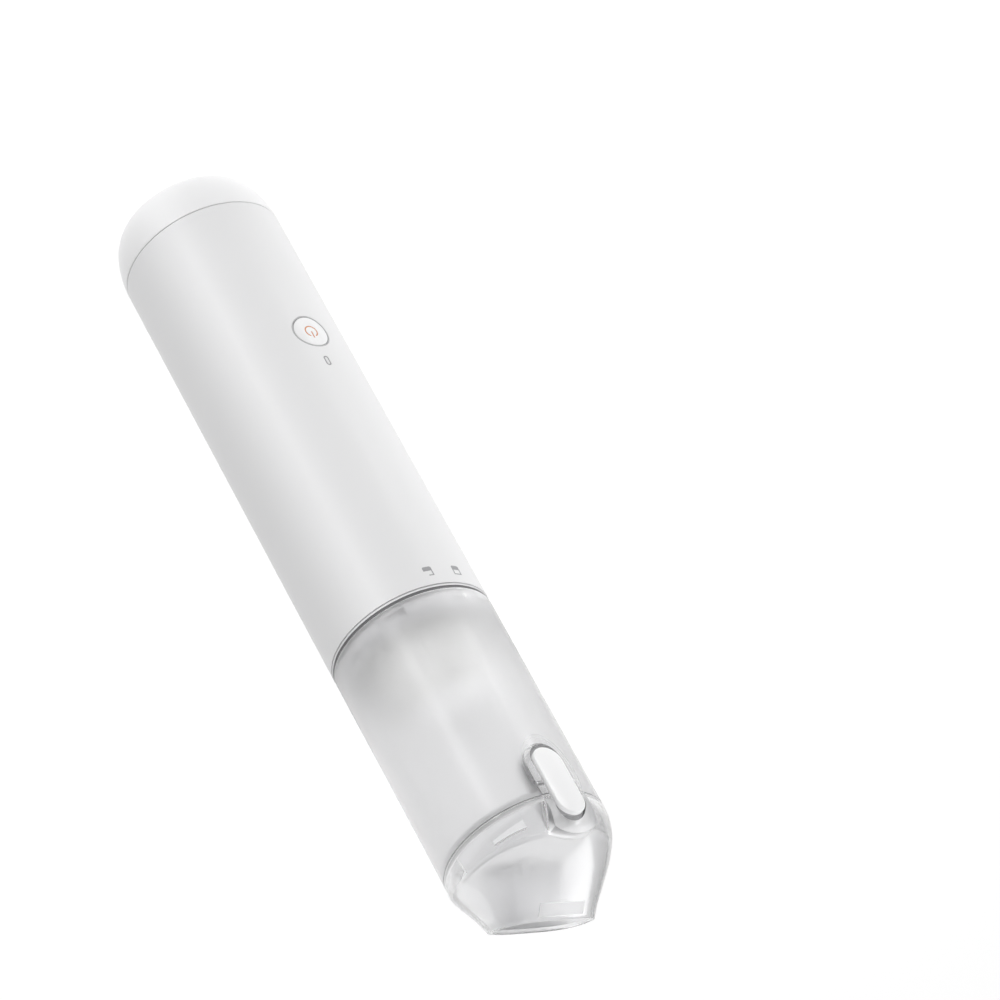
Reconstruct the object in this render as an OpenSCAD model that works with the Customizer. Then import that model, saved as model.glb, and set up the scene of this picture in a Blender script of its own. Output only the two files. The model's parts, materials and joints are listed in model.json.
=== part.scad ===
// Stick vacuum cleaner for a car: white body, clear dust cup, clear nozzle lid.
// It stands on its rear face. +Z runs to the nozzle and -Y is the button side.
// Sizes are in millimetres.

/* [Outside] */
// Outer diameter of the body, the cup and the lid's rim
body_d = 65; // [63:0.5:68]
// Wall of the body tube
body_wall = 2; // [1.6:0.1:2.4]
// Height of the tail cap, from the rear face to its seam
tail_h = 21.5; // [20:0.5:26]
// Radius of the flat rear face
rear_flat_r = 23; // [22.5:0.5:25]
// Floor thickness of the tail cap
tail_floor = 2.4; // [2:0.1:3]
// Length of the body tube, tail seam to cup seam
body_len = 195.5; // [190:0.5:215]
// Length of the dust cup, cup seam to lid seam
cup_len = 99; // [92:0.5:115]
// Wall of the dust cup
cup_wall = 2; // [1.6:0.1:2.2]

/* [Nozzle lid] */
// Width of the mouth across X
mouth_w = 41.8; // [38:0.2:46]
// Depth of the mouth, front lip to back lip
mouth_depth = 24; // [22:0.5:27]
// Tilt of the mouth towards the back, in degrees
mouth_tilt = 26; // [20:1:30]
// Height of the mouth's centre above the lid seam
mouth_rise = 26.9; // [25:0.1:32]
// Offset of the mouth's centre towards the back
mouth_shift = 12; // [9:0.5:13]
// Wall of the lid
lid_wall = 1.8; // [1.4:0.1:2]
// Straight rim above the lid seam
lid_rim = 1.6; // [1:0.1:3]
// Length of the intake duct behind the mouth
duct_len = 20; // [16:0.5:22]
// Thickness of the intake flap
flap_t = 1.2; // [0.8:0.1:1.6]

/* [Latch] */
// Width of the latch face
latch_w = 12.5; // [11:0.1:14]
// Length of the latch face
latch_len = 30.6; // [28:0.1:33]
// How far the latch reaches past the lid seam
latch_past = 10.1; // [9:0.1:11]
// Depth of the latch recess
recess_depth = 7; // [6.6:0.1:8]
// Diameter of the latch and hinge pins
pin_d = 2; // [1.6:0.1:2.2]

/* [Bayonet] */
// Turn of the cup between locked and free, in degrees
twist = 23; // [18:1:30]
// Width of a bayonet lug, in degrees
lug_angle = 12; // [9:1:16]
// Height of a bayonet lug
lug_h = 3; // [2.5:0.1:3.5]
// Height of the neck that enters the cup
neck_h = 9.5; // [8.5:0.5:13]

/* [Controls] */
// Height of the power button above the rear face
button_z = 89.7; // [80:0.1:95]
// Diameter of the power button
button_d = 14.2; // [13:0.1:16]
// Travel of the power button
button_travel = 0.6; // [0.4:0.05:0.8]
// Diameter of the power symbol
symbol_d = 5.6; // [4:0.1:8]
// Distance from the power button to the status light
light_gap = 15.1; // [13:0.1:18]
// Width of the status light
light_w = 2.1; // [1.5:0.1:3]
// Length of the status light
light_len = 4.6; // [3.5:0.1:6]

/* [Battery] */
// Diameter of a cell
cell_d = 18.4; // [17:0.1:18.6]
// Length of a cell
cell_len = 65.2; // [60:0.1:68]

/* [Motor] */
// Outer diameter of the motor
motor_d = 29; // [26:0.5:31]
// Length of the motor
motor_len = 42; // [40:0.5:45]
// Gap between the fan and its shroud
fan_side = 1; // [0.6:0.1:2]
// Height of the fan
fan_h = 13; // [11:0.5:14]
// Number of fan blades
fan_blades = 9; // [7:1:11]
// Diameter of the motor shaft
shaft_d = 3; // [2.5:0.1:4]

/* [Filter] */
// Gap between the filter's folds and the neck's inside
filter_side = 4.2; // [4:0.1:6]
// Diameter of the filter's end cap as a share of its base
filter_taper = 0.72; // [0.6:0.01:0.8]
// Height of the filter above the cup seam
filter_h = 38.5; // [32:0.5:44]
// Number of pleats
pleats = 30; // [20:1:40]

/* [Exhaust] */
// Height of one exhaust slot
vent_h = 2; // [1.6:0.1:2.4]
// Spacing of the exhaust rows
vent_pitch = 4.4; // [4:0.1:5]
// Number of exhaust rows
vent_rows = 8; // [5:1:8]

/* [Fits] */
// Gap between pieces seated in each other
fit = 0.1; // [0.05:0.01:0.15]
// Gap between a pin and the piece that turns on it
run = 0.05; // [0.03:0.01:0.08]
// Gap between pieces that move past each other
clear = 0.3; // [0.25:0.05:0.4]

/* [Hidden] */
$fn = 96;

// Length that a cutting shape runs past what it cuts
past = 1;
// Radii of the outside, the body's bore and the cup's bore
R = body_d / 2;
bore_r = R - body_wall;
cup_r = R - cup_wall;
// Heights of the three seams, and half the gap that shows at a seam
z_tail = tail_h;
z_cup = tail_h + body_len;
z_lid = z_cup + cup_len;
half_seam = clear / 2;

// Tail cap: spigot in the body tube, screws and their pillars
spigot_h = 6;
spigot_r = bore_r - fit;
spigot_wall = 1.6;
tail_steps = 16;
screw_d = 2.9;
screw_head_d = 5.2;
screw_head_h = 2;
screw_sink = 1;
drive_half = 1.5;
drive_w = 0.8;
screw_seat = screw_sink + screw_head_h;
screw_circle = 18.5;
screw_angles = [30, 150, 270];
pillar_r = screw_head_d / 2 + clear + 1.4;

// Charging socket in the tail cap
usb_w = 8.94;
usb_t = 3.26;
usb_len = 7.2;
usb_skin = 0.35;
usb_y = 10;
usb_z = 0.6;
usb_board_z = usb_z + usb_len;
usb_board_w = 22;
usb_board_d = 12;
usb_shell_floor = 1;
usb_tongue_w = 6.6;
usb_tongue_t = 0.7;
usb_tongue_back = 0.8;
usb_rib_x = usb_w / 2 + 3;
usb_rib_w = 3;
usb_rib_half = 5;

// Frame that carries the battery, the boards and the rear of the motor
frame_r = spigot_r - spigot_wall - 0.4;
frame_wall = 1.8;
frame_floor = 2.4;
frame_z = z_tail - 4;
frame_open = 48;
frame_boss_h = 9;
lead_hole_r = 8;

// Battery of three cells around the axis
cell_ring = cell_d / sqrt(3) + fit;
cell_angles = [90, 210, 330];
holder_r = frame_r - frame_wall - 0.4;
holder_floor = 2;
holder_h = 8;
tab_hole_r = 3;
tab_t = 0.3;
tab_w = 8;
strip_half = cell_ring * sqrt(3) / 2;
holder_z = frame_z + frame_floor;
cell_z = holder_z + holder_floor + tab_t;
cell_top = cell_z + cell_len;
holder_top = cell_top + tab_t + holder_floor;
lead_d = 1.6;

// Control board above the battery
board_t = 1.6;
board_y = 1;
board_half = 22;
board_z = holder_top + 6;
board_gap = 5.3;
guide_w = 1.7;
guide_in = board_half - 1.5;
guide_out = frame_r - frame_wall / 2;
chip_t = 2.3;
plug_t = 4;
plug_low = 0.73;
plug_high = 0.89;
capacitor_r = board_half * 0.22;

// Ledge in the body tube, between the collar in front and the fan behind
ledge_t = 2;
collar_h = 11;
ledge_top = z_cup - collar_h;
ledge_z = ledge_top - ledge_t;
ledge_r = bore_r - 5.1;
shroud_screw_r = bore_r - screw_head_d / 2 - 0.4;
shroud_screw_angles = [45, 135, 225, 315];

// Fan and motor, counted down from the ledge
shroud_plate = 2.5;
shroud_wall = 1.6;
fan_d = 2 * (shroud_screw_r - screw_head_d / 2 - clear - shroud_wall - fan_side);
fan_gap = 2;
fan_top = ledge_z - shroud_plate - fan_gap;
fan_z = fan_top - fan_h;
fan_back = 1.5;
hub_r = 4.5;
blade_t = 1;
inlet_r = fan_d / 4;
diffuser_gap = 1;
vane_h = 4;
diffuser_plate = 2;
vane_z = fan_z - diffuser_gap - vane_h;
diffuser_z = vane_z - diffuser_plate;
motor_r = motor_d / 2;
motor_top = vane_z - diffuser_plate / 4;
motor_z = motor_top - motor_len;
can_wall = 0.8;
can_floor = 2;
bell_t = 4;
bearing_r = shaft_d / 2 + 2.5;
bearing_w = 3.6;
bearing_seat = bearing_r + 2;
magnet_r = motor_r * 0.43;
air_gap = 0.6;
stator_z = motor_z + can_floor + bearing_w + 4;
stator_top = motor_top - bell_t - 8;
coil_h = 3.2;
tooth_w = 4;
tooth_angles = [0, 120, 240];
bush_t = 3;
bush_wall = 3.6;
bush_h = 9;
bush_seat_r = motor_r + bush_wall + fit;
frame_top_t = 3;
frame_top = motor_z - bush_t;
board_h = frame_top - frame_top_t - board_z - board_gap;

// Exhaust slots in the back of the body tube, and the foam behind them
vent_cols = [-28, -14, 0, 14, 28];
vent_angle = 10;
vent_z = (motor_z + motor_top) / 2 - vent_pitch * (vent_rows - 1) / 2;
foam_t = 3;
foam_margin = 4;

// Power button, its bezel, its board and its switch
bezel_w = 0.45;
button_r = button_d / 2;
bezel_in = button_r + clear - 0.05;
bezel_out = bezel_in + bezel_w;
flush = 0.05;
light_z = button_z + light_gap;
flange_r = button_r + 1.5;
flange_y = sqrt(pow(bore_r, 2) - pow(flange_r, 2)) - 0.45;
flange_t = 1.2;
switch_w = 6;
switch_h = 3.5;
plunger_r = 1.6;
plunger_out = 1;
stem_r = 2.2;
stem_len = 1.5;
plunger_y = flange_y - flange_t - stem_len;
switch_y = plunger_y - plunger_out;
button_board_y = switch_y - switch_h;
plate_t = 1.8;
plate_y = button_board_y - board_t;
plate_half = sqrt(pow(frame_r - frame_wall / 2, 2) - pow(plate_y - plate_t / 2, 2));
symbol_line = 0.55;
symbol_open = 60;
symbol_sink = 0.5;
led_t = 0.7;

// Collar on the body's front end, with the bayonet neck
seat_gap = 0.15;
seat_t = 0.6;
seat_in = 0.1;
gasket_t = 1;
gasket_in = 0.35;
gasket_back = 0.5;
body_end = z_cup - gasket_back;
gasket_z = body_end + seat_gap + seat_t;
cup_start = gasket_z + gasket_t + clear;
neck_r = cup_r - 2 * clear;
neck_wall = 2.7;
filter_base_d = 2 * (neck_r - neck_wall - filter_side);
filter_top_d = filter_base_d * filter_taper;
recess_r = filter_base_d / 2 + 2;
bulkhead_t = 2.5;
bulkhead_r = 13;
lug_z = cup_start + 2;
lug_depth = 1.75;
groove_r = cup_r - lug_depth - clear;
groove_angle = 0.8;
lug_angles = [75, 195, 315];

// Filter in the collar's recess
filter_seat = ledge_top + bulkhead_t;
filter_seal_t = 1.5;
filter_flange_r = recess_r - clear;
filter_flange_t = 4;
filter_z = filter_seat + filter_seal_t + filter_flange_t;
filter_cap_t = 4.5;
filter_top = z_cup + filter_h - filter_cap_t;
pleat_depth = 2.6;
pleat_wall = 0.7;

// Latch recess in the cup and the lid
recess_wall = 1.5;
latch_side = 0.6;
latch_end = 1.3;
latch_z = z_lid + latch_past - latch_len;
latch_top = z_lid + latch_past;
latch_proud = 0.25;
latch_face_t = 1.75;
carrier_t = 1.4;
carrier_in = 0.7;
recess_y = R - recess_depth;
recess_half = latch_w / 2 + latch_side + recess_wall + clear;
pivot_y = R - 3.5;
pivot_z = z_lid - 6;
latch_back = R + latch_proud - latch_face_t;
barrel_r = latch_back - pivot_y - fit / 2;
barrel_half = latch_w / 2 - 0.5;
hook_half = 4;
hook_z = z_lid + 5;
hook_h = 2;
hook_y = recess_y + 1.7;
catch_z = z_lid + 2.4;
catch_h = 2.2;
catch_y = recess_y + 3.2;
spring_z = latch_z + latch_w / 2 - 0.2;
spring_r = 2;
spring_wire = 0.5;
spring_turns = 3;
spring_rings = 12;
spring_sides = 6;

// Boss of the lid around the latch's nozzle end
boss_half = latch_w / 2 + 3.35;
boss_len = 16;
boss_straight = 3;
boss_drop = 4.5;

// Hinge at the back of the lid seam
hinge_out = 1.1;
hinge_y = R + hinge_out;
knuckle_r = pin_d / 2 + 0.9;
lid_knuckle = 3.2;
cup_knuckle = lid_knuckle + clear;
knuckle_end = 7.5;
web_h = 8;

// Loft of the lid between its round rim and its mouth
lid_sides = 56;
lid_rings = 14;
lid_start = z_lid + half_seam;
mouth_z = z_lid + mouth_rise;
insert_gap = 0.2;
insert_wall = 1.2;
insert_share = 0.28;
insert_rings = 5;
spigot_drop = 3.2;
window_angles = [49, 106.5, 164, 196, 253.5, 311];
window_angle = 26;
window_z = z_lid + 1.6;
window_h = 6.4;
seal_h = 1.5;
seal_t = 1;
seal_lip = 0.8;

// Intake duct and its flap, along the mouth's own axis
duct_wall = 1.2;
duct_half_w = mouth_w / 2 - lid_wall - 0.15;
duct_half_d = mouth_depth / 2 - lid_wall - 0.15;
duct_start = 1.5;
duct_end = duct_start + duct_len;
trunnion_r = 0.7;
flap_barrel_r = 1.1;
flap_barrel_half = 11;
flap_axis_v = -(duct_half_d + flap_barrel_r + clear);
flap_axis_d = duct_end + clear + flap_t / 2;
flap_lug_w = 2;
flap_lug_h = 5;
flap_lug_grip = 6;

// Lead routes: points chosen by hand, from the battery and the board
battery_lead_from = [[0, cell_ring], [cell_ring * cos(30), -cell_ring / 2]];
motor_lead_x = [-5, 0, 5];
motor_lead_y = motor_r - 3;

function mix(a, b, f) = a + (b - a) * f;
function s_curve(t, p, q) = t <= 0 ? 0 : t >= 1 ? 1 : pow(t, p) / (pow(t, p) + pow(1 - t, q));
function round_power(c, n) = sign(c) * pow(abs(c), 2 / n);
function oval(a, b, n, sides) = [
  for (i = [0 : sides - 1])
    let (w = 360 * i / sides)
    [a * round_power(cos(w), n), b * round_power(sin(w), n)]
];

// One ring of the lid's loft: t runs from the rim to the mouth, inset goes inwards
function lid_ring(t, inset) =
  let (
    a = mix(R, mouth_w / 2, s_curve(t, 1.75, 1.25)) - inset,
    b = mix(R, mouth_depth / 2, s_curve(t, 1.25, 1)) - inset,
    y = mouth_shift * s_curve(t, 1.4, 1.05),
    z = mix(lid_start + lid_rim, mouth_z, t),
    tilt = mouth_tilt * t
  )
  [for (p = oval(a, b, 2 + t, lid_sides)) [p[0], y + p[1] * cos(tilt), z - p[1] * sin(tilt)]];
function rim_ring(inset) = [for (p = lid_ring(0, inset)) [p[0], p[1], lid_start]];

// A closed skin through rings of points, where the last ring joins the first
module ring_skin(rings) {
  n = len(rings[0]);
  m = len(rings);
  points = [for (r = rings) for (p = r) p];
  faces = [
    for (k = [0 : m - 1], i = [0 : n - 1])
      let (a = k * n, b = ((k + 1) % m) * n, j = (i + 1) % n)
      each [[a + i, b + i, b + j], [a + i, b + j, a + j]]
  ];
  polyhedron(points, faces);
}

// A round lead through points, with a ring at each point and flat ends
module lead(points, d) {
  sides = 8;
  m = len(points);
  function along(k) =
    let (v = points[min(k + 1, m - 1)] - points[max(k - 1, 0)])
    v / norm(v);
  function side(k) =
    let (v = cross(along(k), abs(along(k)[0]) < 0.9 ? [1, 0, 0] : [0, 1, 0]))
    v / norm(v);
  rings = [
    for (k = [0 : m - 1])
      let (u = side(k), w = cross(along(k), u))
      [
        for (i = [0 : sides - 1])
          let (a = 360 * i / sides)
          points[k] + d / 2 * (u * cos(a) + w * sin(a))
      ]
  ];
  tube_skin(rings);
}

// A closed skin through rings of points, with a flat face on the first and the last
module tube_skin(rings) {
  n = len(rings[0]);
  m = len(rings);
  points = [for (r = rings) for (p = r) p];
  walls = [
    for (k = [0 : m - 2], i = [0 : n - 1])
      let (a = k * n, b = a + n, j = (i + 1) % n)
      each [[a + i, b + i, b + j], [a + i, b + j, a + j]]
  ];
  caps = [
    for (i = [1 : n - 2])
      each [[0, i, i + 1], [(m - 1) * n, (m - 1) * n + i + 1, (m - 1) * n + i]]
  ];
  polyhedron(points, concat(walls, caps));
}

module ring(inner, outer, z0, z1) {
  rotate_extrude() translate([inner, z0]) square([outer - inner, z1 - z0]);
}

module arc_ring(inner, outer, z0, z1, from, to) {
  rotate([0, 0, from])
    rotate_extrude(angle = to - from)
      translate([inner, z0]) square([outer - inner, z1 - z0]);
}

// Extrudes a drawing in X and Z along Y, between two values of Y
module along_y(y0, y1) {
  translate([0, y1, 0]) rotate([90, 0, 0]) linear_extrude(y1 - y0) children();
}

// Extrudes a drawing in Y and Z along X, to both sides of the middle
module along_x(half) {
  translate([-half, 0, 0]) rotate([90, 0, 90]) linear_extrude(2 * half) children();
}

// A round bar along X at the given Y and Z
module bar_x(r, x0, x1, y, z) {
  translate([x0, y, z]) rotate([0, 90, 0]) cylinder(r = r, h = x1 - x0);
}

// A round bar along Y at the given height
module bar_y(r, y0, y1, z) {
  along_y(y0, y1) translate([0, z]) circle(r = r);
}

module box_between(low, high) {
  translate(low) cube(high - low);
}

module polar(angles, radius) {
  for (a = angles) rotate([0, 0, a]) translate([radius, 0, 0]) children();
}

module stadium(w, length) {
  translate([-w / 2, -(length - w) / 2]) square([w, length - w]);
  for (s = [-1, 1]) translate([0, s * (length - w) / 2]) circle(d = w);
}

// A slot with one round end: it runs from its round bottom to a straight top
module rounded_below(w, z0, z1) {
  translate([0, z0 + w / 2]) circle(d = w);
  translate([-w / 2, z0 + w / 2]) square([w, z1 - z0 - w / 2]);
}

module rounded_above(w, z0, z1) {
  translate([0, z1 - w / 2]) circle(d = w);
  translate([-w / 2, z0]) square([w, z1 - z0 - w / 2]);
}

// The body's outside, a hair under flush, in fine steps because thin pieces are cut to it
module outside() {
  cylinder(r = R - flush, h = z_lid, $fn = 360);
}

// Places a piece on the mouth's axis, at a depth behind the mouth
module behind_mouth(depth) {
  translate([0, mouth_shift, mouth_z]) rotate([-mouth_tilt, 0, 0]) translate([0, 0, -depth]) children();
}

module screw(length) {
  difference() {
    union() {
      translate([0, 0, -screw_head_h]) cylinder(d = screw_head_d, h = screw_head_h);
      cylinder(d = screw_d, h = length);
    }
    for (a = [0, 90])
      rotate([0, 0, a])
        box_between(
          [-drive_half, -drive_w / 2, -screw_head_h - past], [drive_half, drive_w / 2, -screw_head_h / 2]
        );
  }
}

module tail_cap() {
  curve = [for (i = [0 : tail_steps]) 90 * i / tail_steps];
  inner_rim = spigot_r - spigot_wall;
  inner_flat = rear_flat_r - 1.5;
  outer_line = [for (a = curve) [mix(rear_flat_r, R, sin(a)), (z_tail - half_seam) * (1 - cos(a))]];
  inner_line = [
    for (i = [tail_steps : -1 : 0])
      let (a = curve[i])
      [mix(inner_flat, inner_rim, sin(a)), mix(tail_floor, z_tail, 1 - cos(a))]
  ];
  step_line = [
    [spigot_r, z_tail - half_seam], [spigot_r, z_tail + spigot_h], [inner_rim, z_tail + spigot_h]
  ];
  color("white")
    difference() {
      union() {
        rotate_extrude()
          polygon(concat([[0, 0]], outer_line, step_line, inner_line, [[0, tail_floor]]));
        polar(screw_angles, screw_circle)
          translate([0, 0, tail_floor / 2]) cylinder(r = pillar_r, h = frame_z - tail_floor / 2);
        for (s = [-1, 1])
          box_between(
            [s * usb_rib_x - usb_rib_w / 2, usb_y - usb_rib_half, tail_floor / 2],
            [s * usb_rib_x + usb_rib_w / 2, usb_y + usb_rib_half, usb_board_z]
          );
      }
      polar(screw_angles, screw_circle) {
        translate([0, 0, -past]) cylinder(d = screw_head_d + 2 * clear, h = screw_seat + past);
        translate([0, 0, -past]) cylinder(d = screw_d + 2 * fit, h = frame_z + 2 * past);
      }
      translate([0, usb_y, -past])
        linear_extrude(tail_floor + 2 * past)
          rotate(90) stadium(usb_t + 2 * fit, usb_w + 2 * fit);
    }
}

module tail_screws() {
  color("silver")
    polar(screw_angles, screw_circle)
      translate([0, 0, screw_seat]) screw(frame_z + frame_boss_h - 2 - screw_seat);
}

module usb_socket() {
  color("silver")
    translate([0, usb_y, 0]) {
      translate([0, 0, usb_z])
        linear_extrude(usb_len)
          rotate(90)
            difference() {
              stadium(usb_t, usb_w);
              stadium(usb_t - 2 * usb_skin, usb_w - 2 * usb_skin);
            }
      translate([0, 0, usb_board_z - usb_shell_floor])
        linear_extrude(usb_shell_floor)
          rotate(90) stadium(usb_t - usb_skin, usb_w - usb_skin);
      box_between(
        [-usb_tongue_w / 2, -usb_tongue_t / 2, usb_z + usb_tongue_back],
        [usb_tongue_w / 2, usb_tongue_t / 2, usb_board_z - usb_shell_floor / 2]
      );
    }
}

module usb_board() {
  color("darkgreen")
    box_between(
      [-usb_board_w / 2, usb_y - usb_board_d / 2, usb_board_z],
      [usb_board_w / 2, usb_y + usb_board_d / 2, usb_board_z + board_t]
    );
}

module body_tube() {
  color("white")
    difference() {
      rotate_extrude()
        polygon([
          [bore_r, z_tail + half_seam], [R, z_tail + half_seam], [R, body_end], [bore_r, body_end],
          [bore_r, ledge_top], [ledge_r, ledge_top], [ledge_r, ledge_z], [bore_r, ledge_z]
        ]);
      bar_y(bezel_out + fit, -R - past, 0, button_z);
      along_y(-R - past, 0) translate([0, light_z]) stadium(light_w + 2 * fit, light_len + 2 * fit);
      for (row = [0 : vent_rows - 1], col = vent_cols)
        arc_ring(
          bore_r - past, R + past,
          vent_z + row * vent_pitch - vent_h / 2, vent_z + row * vent_pitch + vent_h / 2,
          90 + col - vent_angle / 2, 90 + col + vent_angle / 2
        );
      polar(shroud_screw_angles, shroud_screw_r)
        translate([0, 0, ledge_z - past]) cylinder(d = screw_d + 2 * fit, h = ledge_t + 2 * past);
    }
}

module inner_frame() {
  plate_z = button_z - flange_r - 4;
  plate_top = light_z + light_len + 3.4;
  color("dimgray")
    difference() {
      union() {
        arc_ring(
          frame_r - frame_wall, frame_r - fit, frame_z + frame_floor / 2, frame_top - frame_top_t / 2,
          -frame_open, 180 + frame_open
        );
        ring(0, frame_r, frame_z, frame_z + frame_floor);
        ring(0, bore_r - fit, frame_top - frame_top_t, frame_top);
        ring(bush_seat_r, bush_seat_r + 2, frame_top - past, frame_top + bush_h);
        polar(screw_angles, screw_circle)
          translate([0, 0, frame_z]) cylinder(r = screw_d, h = frame_boss_h);
        box_between([-plate_half, -plate_y, plate_z], [plate_half, -plate_y + plate_t, plate_top]);
        for (s = [-1, 1], y = [board_y - clear - guide_w, board_y + board_t + clear])
          box_between(
            [min(s * guide_in, s * guide_out), y, board_z],
            [max(s * guide_in, s * guide_out), y + guide_w, board_z + board_h]
          );
      }
      polar(screw_angles, screw_circle)
        translate([0, 0, frame_z - past]) cylinder(d = screw_d + 2 * run, h = frame_boss_h);
      translate([0, 0, frame_z - past]) cylinder(r = lead_hole_r, h = frame_floor + 2 * past);
      for (x = motor_lead_x)
        translate([x, motor_lead_y, frame_top - frame_top_t - past])
          cylinder(d = lead_d + 2 * clear, h = frame_top_t + 2 * past);
    }
}

module battery_cells() {
  color("steelblue")
    polar(cell_angles, cell_ring)
      translate([0, 0, cell_z]) {
        cylinder(d = cell_d, h = cell_len - 1);
        cylinder(d = cell_d * 0.5, h = cell_len);
      }
}

// One moulded holder: a floor with three pockets for the cells, flat on the button side
module cell_holder() {
  difference() {
    cylinder(r = holder_r, h = holder_h);
    polar(cell_angles, cell_ring) {
      translate([0, 0, holder_floor]) cylinder(d = cell_d + 2 * fit, h = holder_h);
      translate([0, 0, -past]) cylinder(r = tab_hole_r, h = holder_h);
    }
    polar(screw_angles, screw_circle)
      translate([0, 0, -past]) cylinder(r = screw_d + clear, h = holder_h + 2 * past);
    for (a = cell_angles)
      rotate([0, 0, a + 60])
        translate([cell_ring / 2, 0, holder_floor - fit / 2])
          box_between([-tab_w / 2 - clear, -strip_half, 0], [tab_w / 2 + clear, strip_half, 3 * tab_t]);
    box_between([-R, -R, -past], [R, -plate_y + plate_t + clear, holder_h + past]);
  }
}

module rear_cell_holder() {
  color("gray") translate([0, 0, holder_z]) cell_holder();
}

module front_cell_holder() {
  color("gray") translate([0, 0, holder_top]) mirror([0, 0, 1]) cell_holder();
}

// A strip between two cells and a pad on the third, turned with the first cell
module cell_strip(turn) {
  rotate([0, 0, turn]) {
    translate([cell_ring / 2, 0, 0])
      box_between([-tab_w / 2, -strip_half, 0], [tab_w / 2, strip_half, tab_t]);
    translate([-cell_ring, 0, 0])
      box_between([-tab_w / 2, -tab_w / 2, 0], [tab_w / 2, tab_w / 2, tab_t]);
  }
}

module cell_tabs() {
  color("lightgray") {
    translate([0, 0, cell_z - tab_t]) cell_strip(30);
    translate([0, 0, cell_top]) cell_strip(150);
  }
}

module battery_leads() {
  solder_z = board_z + board_h * 0.16;
  color("red")
    for (p = battery_lead_from)
      lead([
        [p[0], p[1], cell_top + tab_t], [p[0], p[1], holder_top + 1], [p[0], p[1], board_z - 2],
        [p[0] + 1, p[1] + 1, board_z + board_h * 0.06],
        [p[0] + 1, p[1] > 0 ? board_y + board_t + 2 * lead_d : board_y - 2 * lead_d, solder_z],
        [p[0] + 1, p[1] > 0 ? board_y + board_t : board_y, solder_z]
      ], lead_d);
}

module control_board() {
  color("darkgreen")
    box_between([-board_half, board_y, board_z], [board_half, board_y + board_t, board_z + board_h]);
}

module board_components() {
  back = board_y + board_t;
  chip_w = board_half * 0.27;
  plug_w = motor_lead_x[2] * 0.8;
  color("black") {
    for (x = [-0.68, -0.32, 0.32, 0.68])
      translate([x * board_half - chip_w / 2, back, board_z + board_h * 0.44])
        cube([chip_w, chip_t, board_h * 0.18]);
    translate([-board_half * 0.27, board_y - chip_t / 2, board_z + board_h * 0.34])
      cube([board_half * 0.36, chip_t / 2, board_h * 0.25]);
    for (x = motor_lead_x)
      translate([x - plug_w / 2, back, board_z + board_h * plug_low])
        cube([plug_w, plug_t, board_h * (plug_high - plug_low)]);
    translate([board_half * 0.55, board_y - capacitor_r, board_z + board_h * 0.28])
      cylinder(r = capacitor_r, h = board_h * 0.5);
    translate([-board_half * 0.82, board_y - capacitor_r, board_z + board_h * 0.4])
      cube([board_half * 0.41, capacitor_r, board_h * 0.28]);
  }
}

module button_board() {
  color("darkgreen")
    box_between(
      [-flange_r, -button_board_y, button_z - flange_r - 2],
      [flange_r, -button_board_y + board_t, light_z + light_len + 1.4]
    );
}

module tact_switch() {
  depth = plunger_out + button_travel + 1.1;
  color("black")
    difference() {
      box_between(
        [-switch_w / 2, -switch_y, button_z - switch_w / 2],
        [switch_w / 2, -button_board_y, button_z + switch_w / 2]
      );
      bar_y(plunger_r + fit, -switch_y - past, -switch_y + depth, button_z);
    }
}

module status_led() {
  color("orange")
    box_between([-1.5, -button_board_y - led_t, light_z - 0.8], [1.5, -button_board_y, light_z + 0.8]);
}

module status_light() {
  shoulder = bore_r - 0.6;
  lip = 1.2;
  color("gray")
    intersection() {
      union() {
        along_y(-R, -button_board_y - led_t - clear)
          translate([0, light_z]) stadium(light_w, light_len);
        along_y(-shoulder, -shoulder + 1)
          translate([0, light_z]) stadium(light_w + lip, light_len + lip);
      }
      outside();
    }
}

module button_bezel() {
  color("gray")
    intersection() {
      difference() {
        bar_y(bezel_out, -R, -flange_y - clear, button_z);
        bar_y(bezel_in, -R - past, 0, button_z);
      }
      outside();
    }
}

// The sign for power: an open ring and a bar, drawn on X and Z
module power_sign() {
  r = symbol_d / 2;
  difference() {
    circle(r = r);
    circle(r = r - symbol_line);
    polygon([[0, 0], [-2 * r * sin(symbol_open / 2), 2 * r], [2 * r * sin(symbol_open / 2), 2 * r]]);
  }
  translate([-symbol_line / 2, 0]) square([symbol_line, r * 1.15]);
}

module power_button() {
  color("white")
    difference() {
      intersection() {
        union() {
          bar_y(button_r, -R, -flange_y, button_z);
          bar_y(flange_r, -flange_y, -flange_y + flange_t, button_z);
          bar_y(stem_r, -flange_y, -plunger_y, button_z);
        }
        outside();
      }
      along_y(-R - past, -R + symbol_sink) translate([0, button_z]) power_sign();
    }
}

module power_symbol() {
  color("orangered")
    intersection() {
      along_y(-R - past, -R + symbol_sink) translate([0, button_z]) power_sign();
      outside();
    }
}

module switch_plunger() {
  color("ivory") bar_y(plunger_r, -plunger_y, -switch_y + plunger_out, button_z);
}

module motor_bush() {
  color("black") {
    difference() {
      translate([0, 0, frame_top]) cylinder(r = motor_r + bush_wall, h = bush_h);
      translate([0, 0, motor_z]) cylinder(r = motor_r + fit, h = bush_h);
      translate([0, 0, frame_top - past]) cylinder(r = motor_r - 1, h = bush_t + 2 * past);
    }
  }
}

module motor_can() {
  seat_z = motor_z + can_floor;
  color("silver")
    difference() {
      union() {
        ring(motor_r - can_wall, motor_r, motor_z, motor_top - bell_t);
        ring(0, motor_r, motor_z, seat_z);
        ring(0, bearing_seat, motor_z, seat_z + bearing_w);
      }
      translate([0, 0, seat_z]) cylinder(r = bearing_r + fit, h = bearing_w + past);
      for (x = motor_lead_x)
        translate([x, motor_lead_y, motor_z - past])
          cylinder(d = lead_d + 2 * clear, h = can_floor + 2 * past);
    }
}

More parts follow.
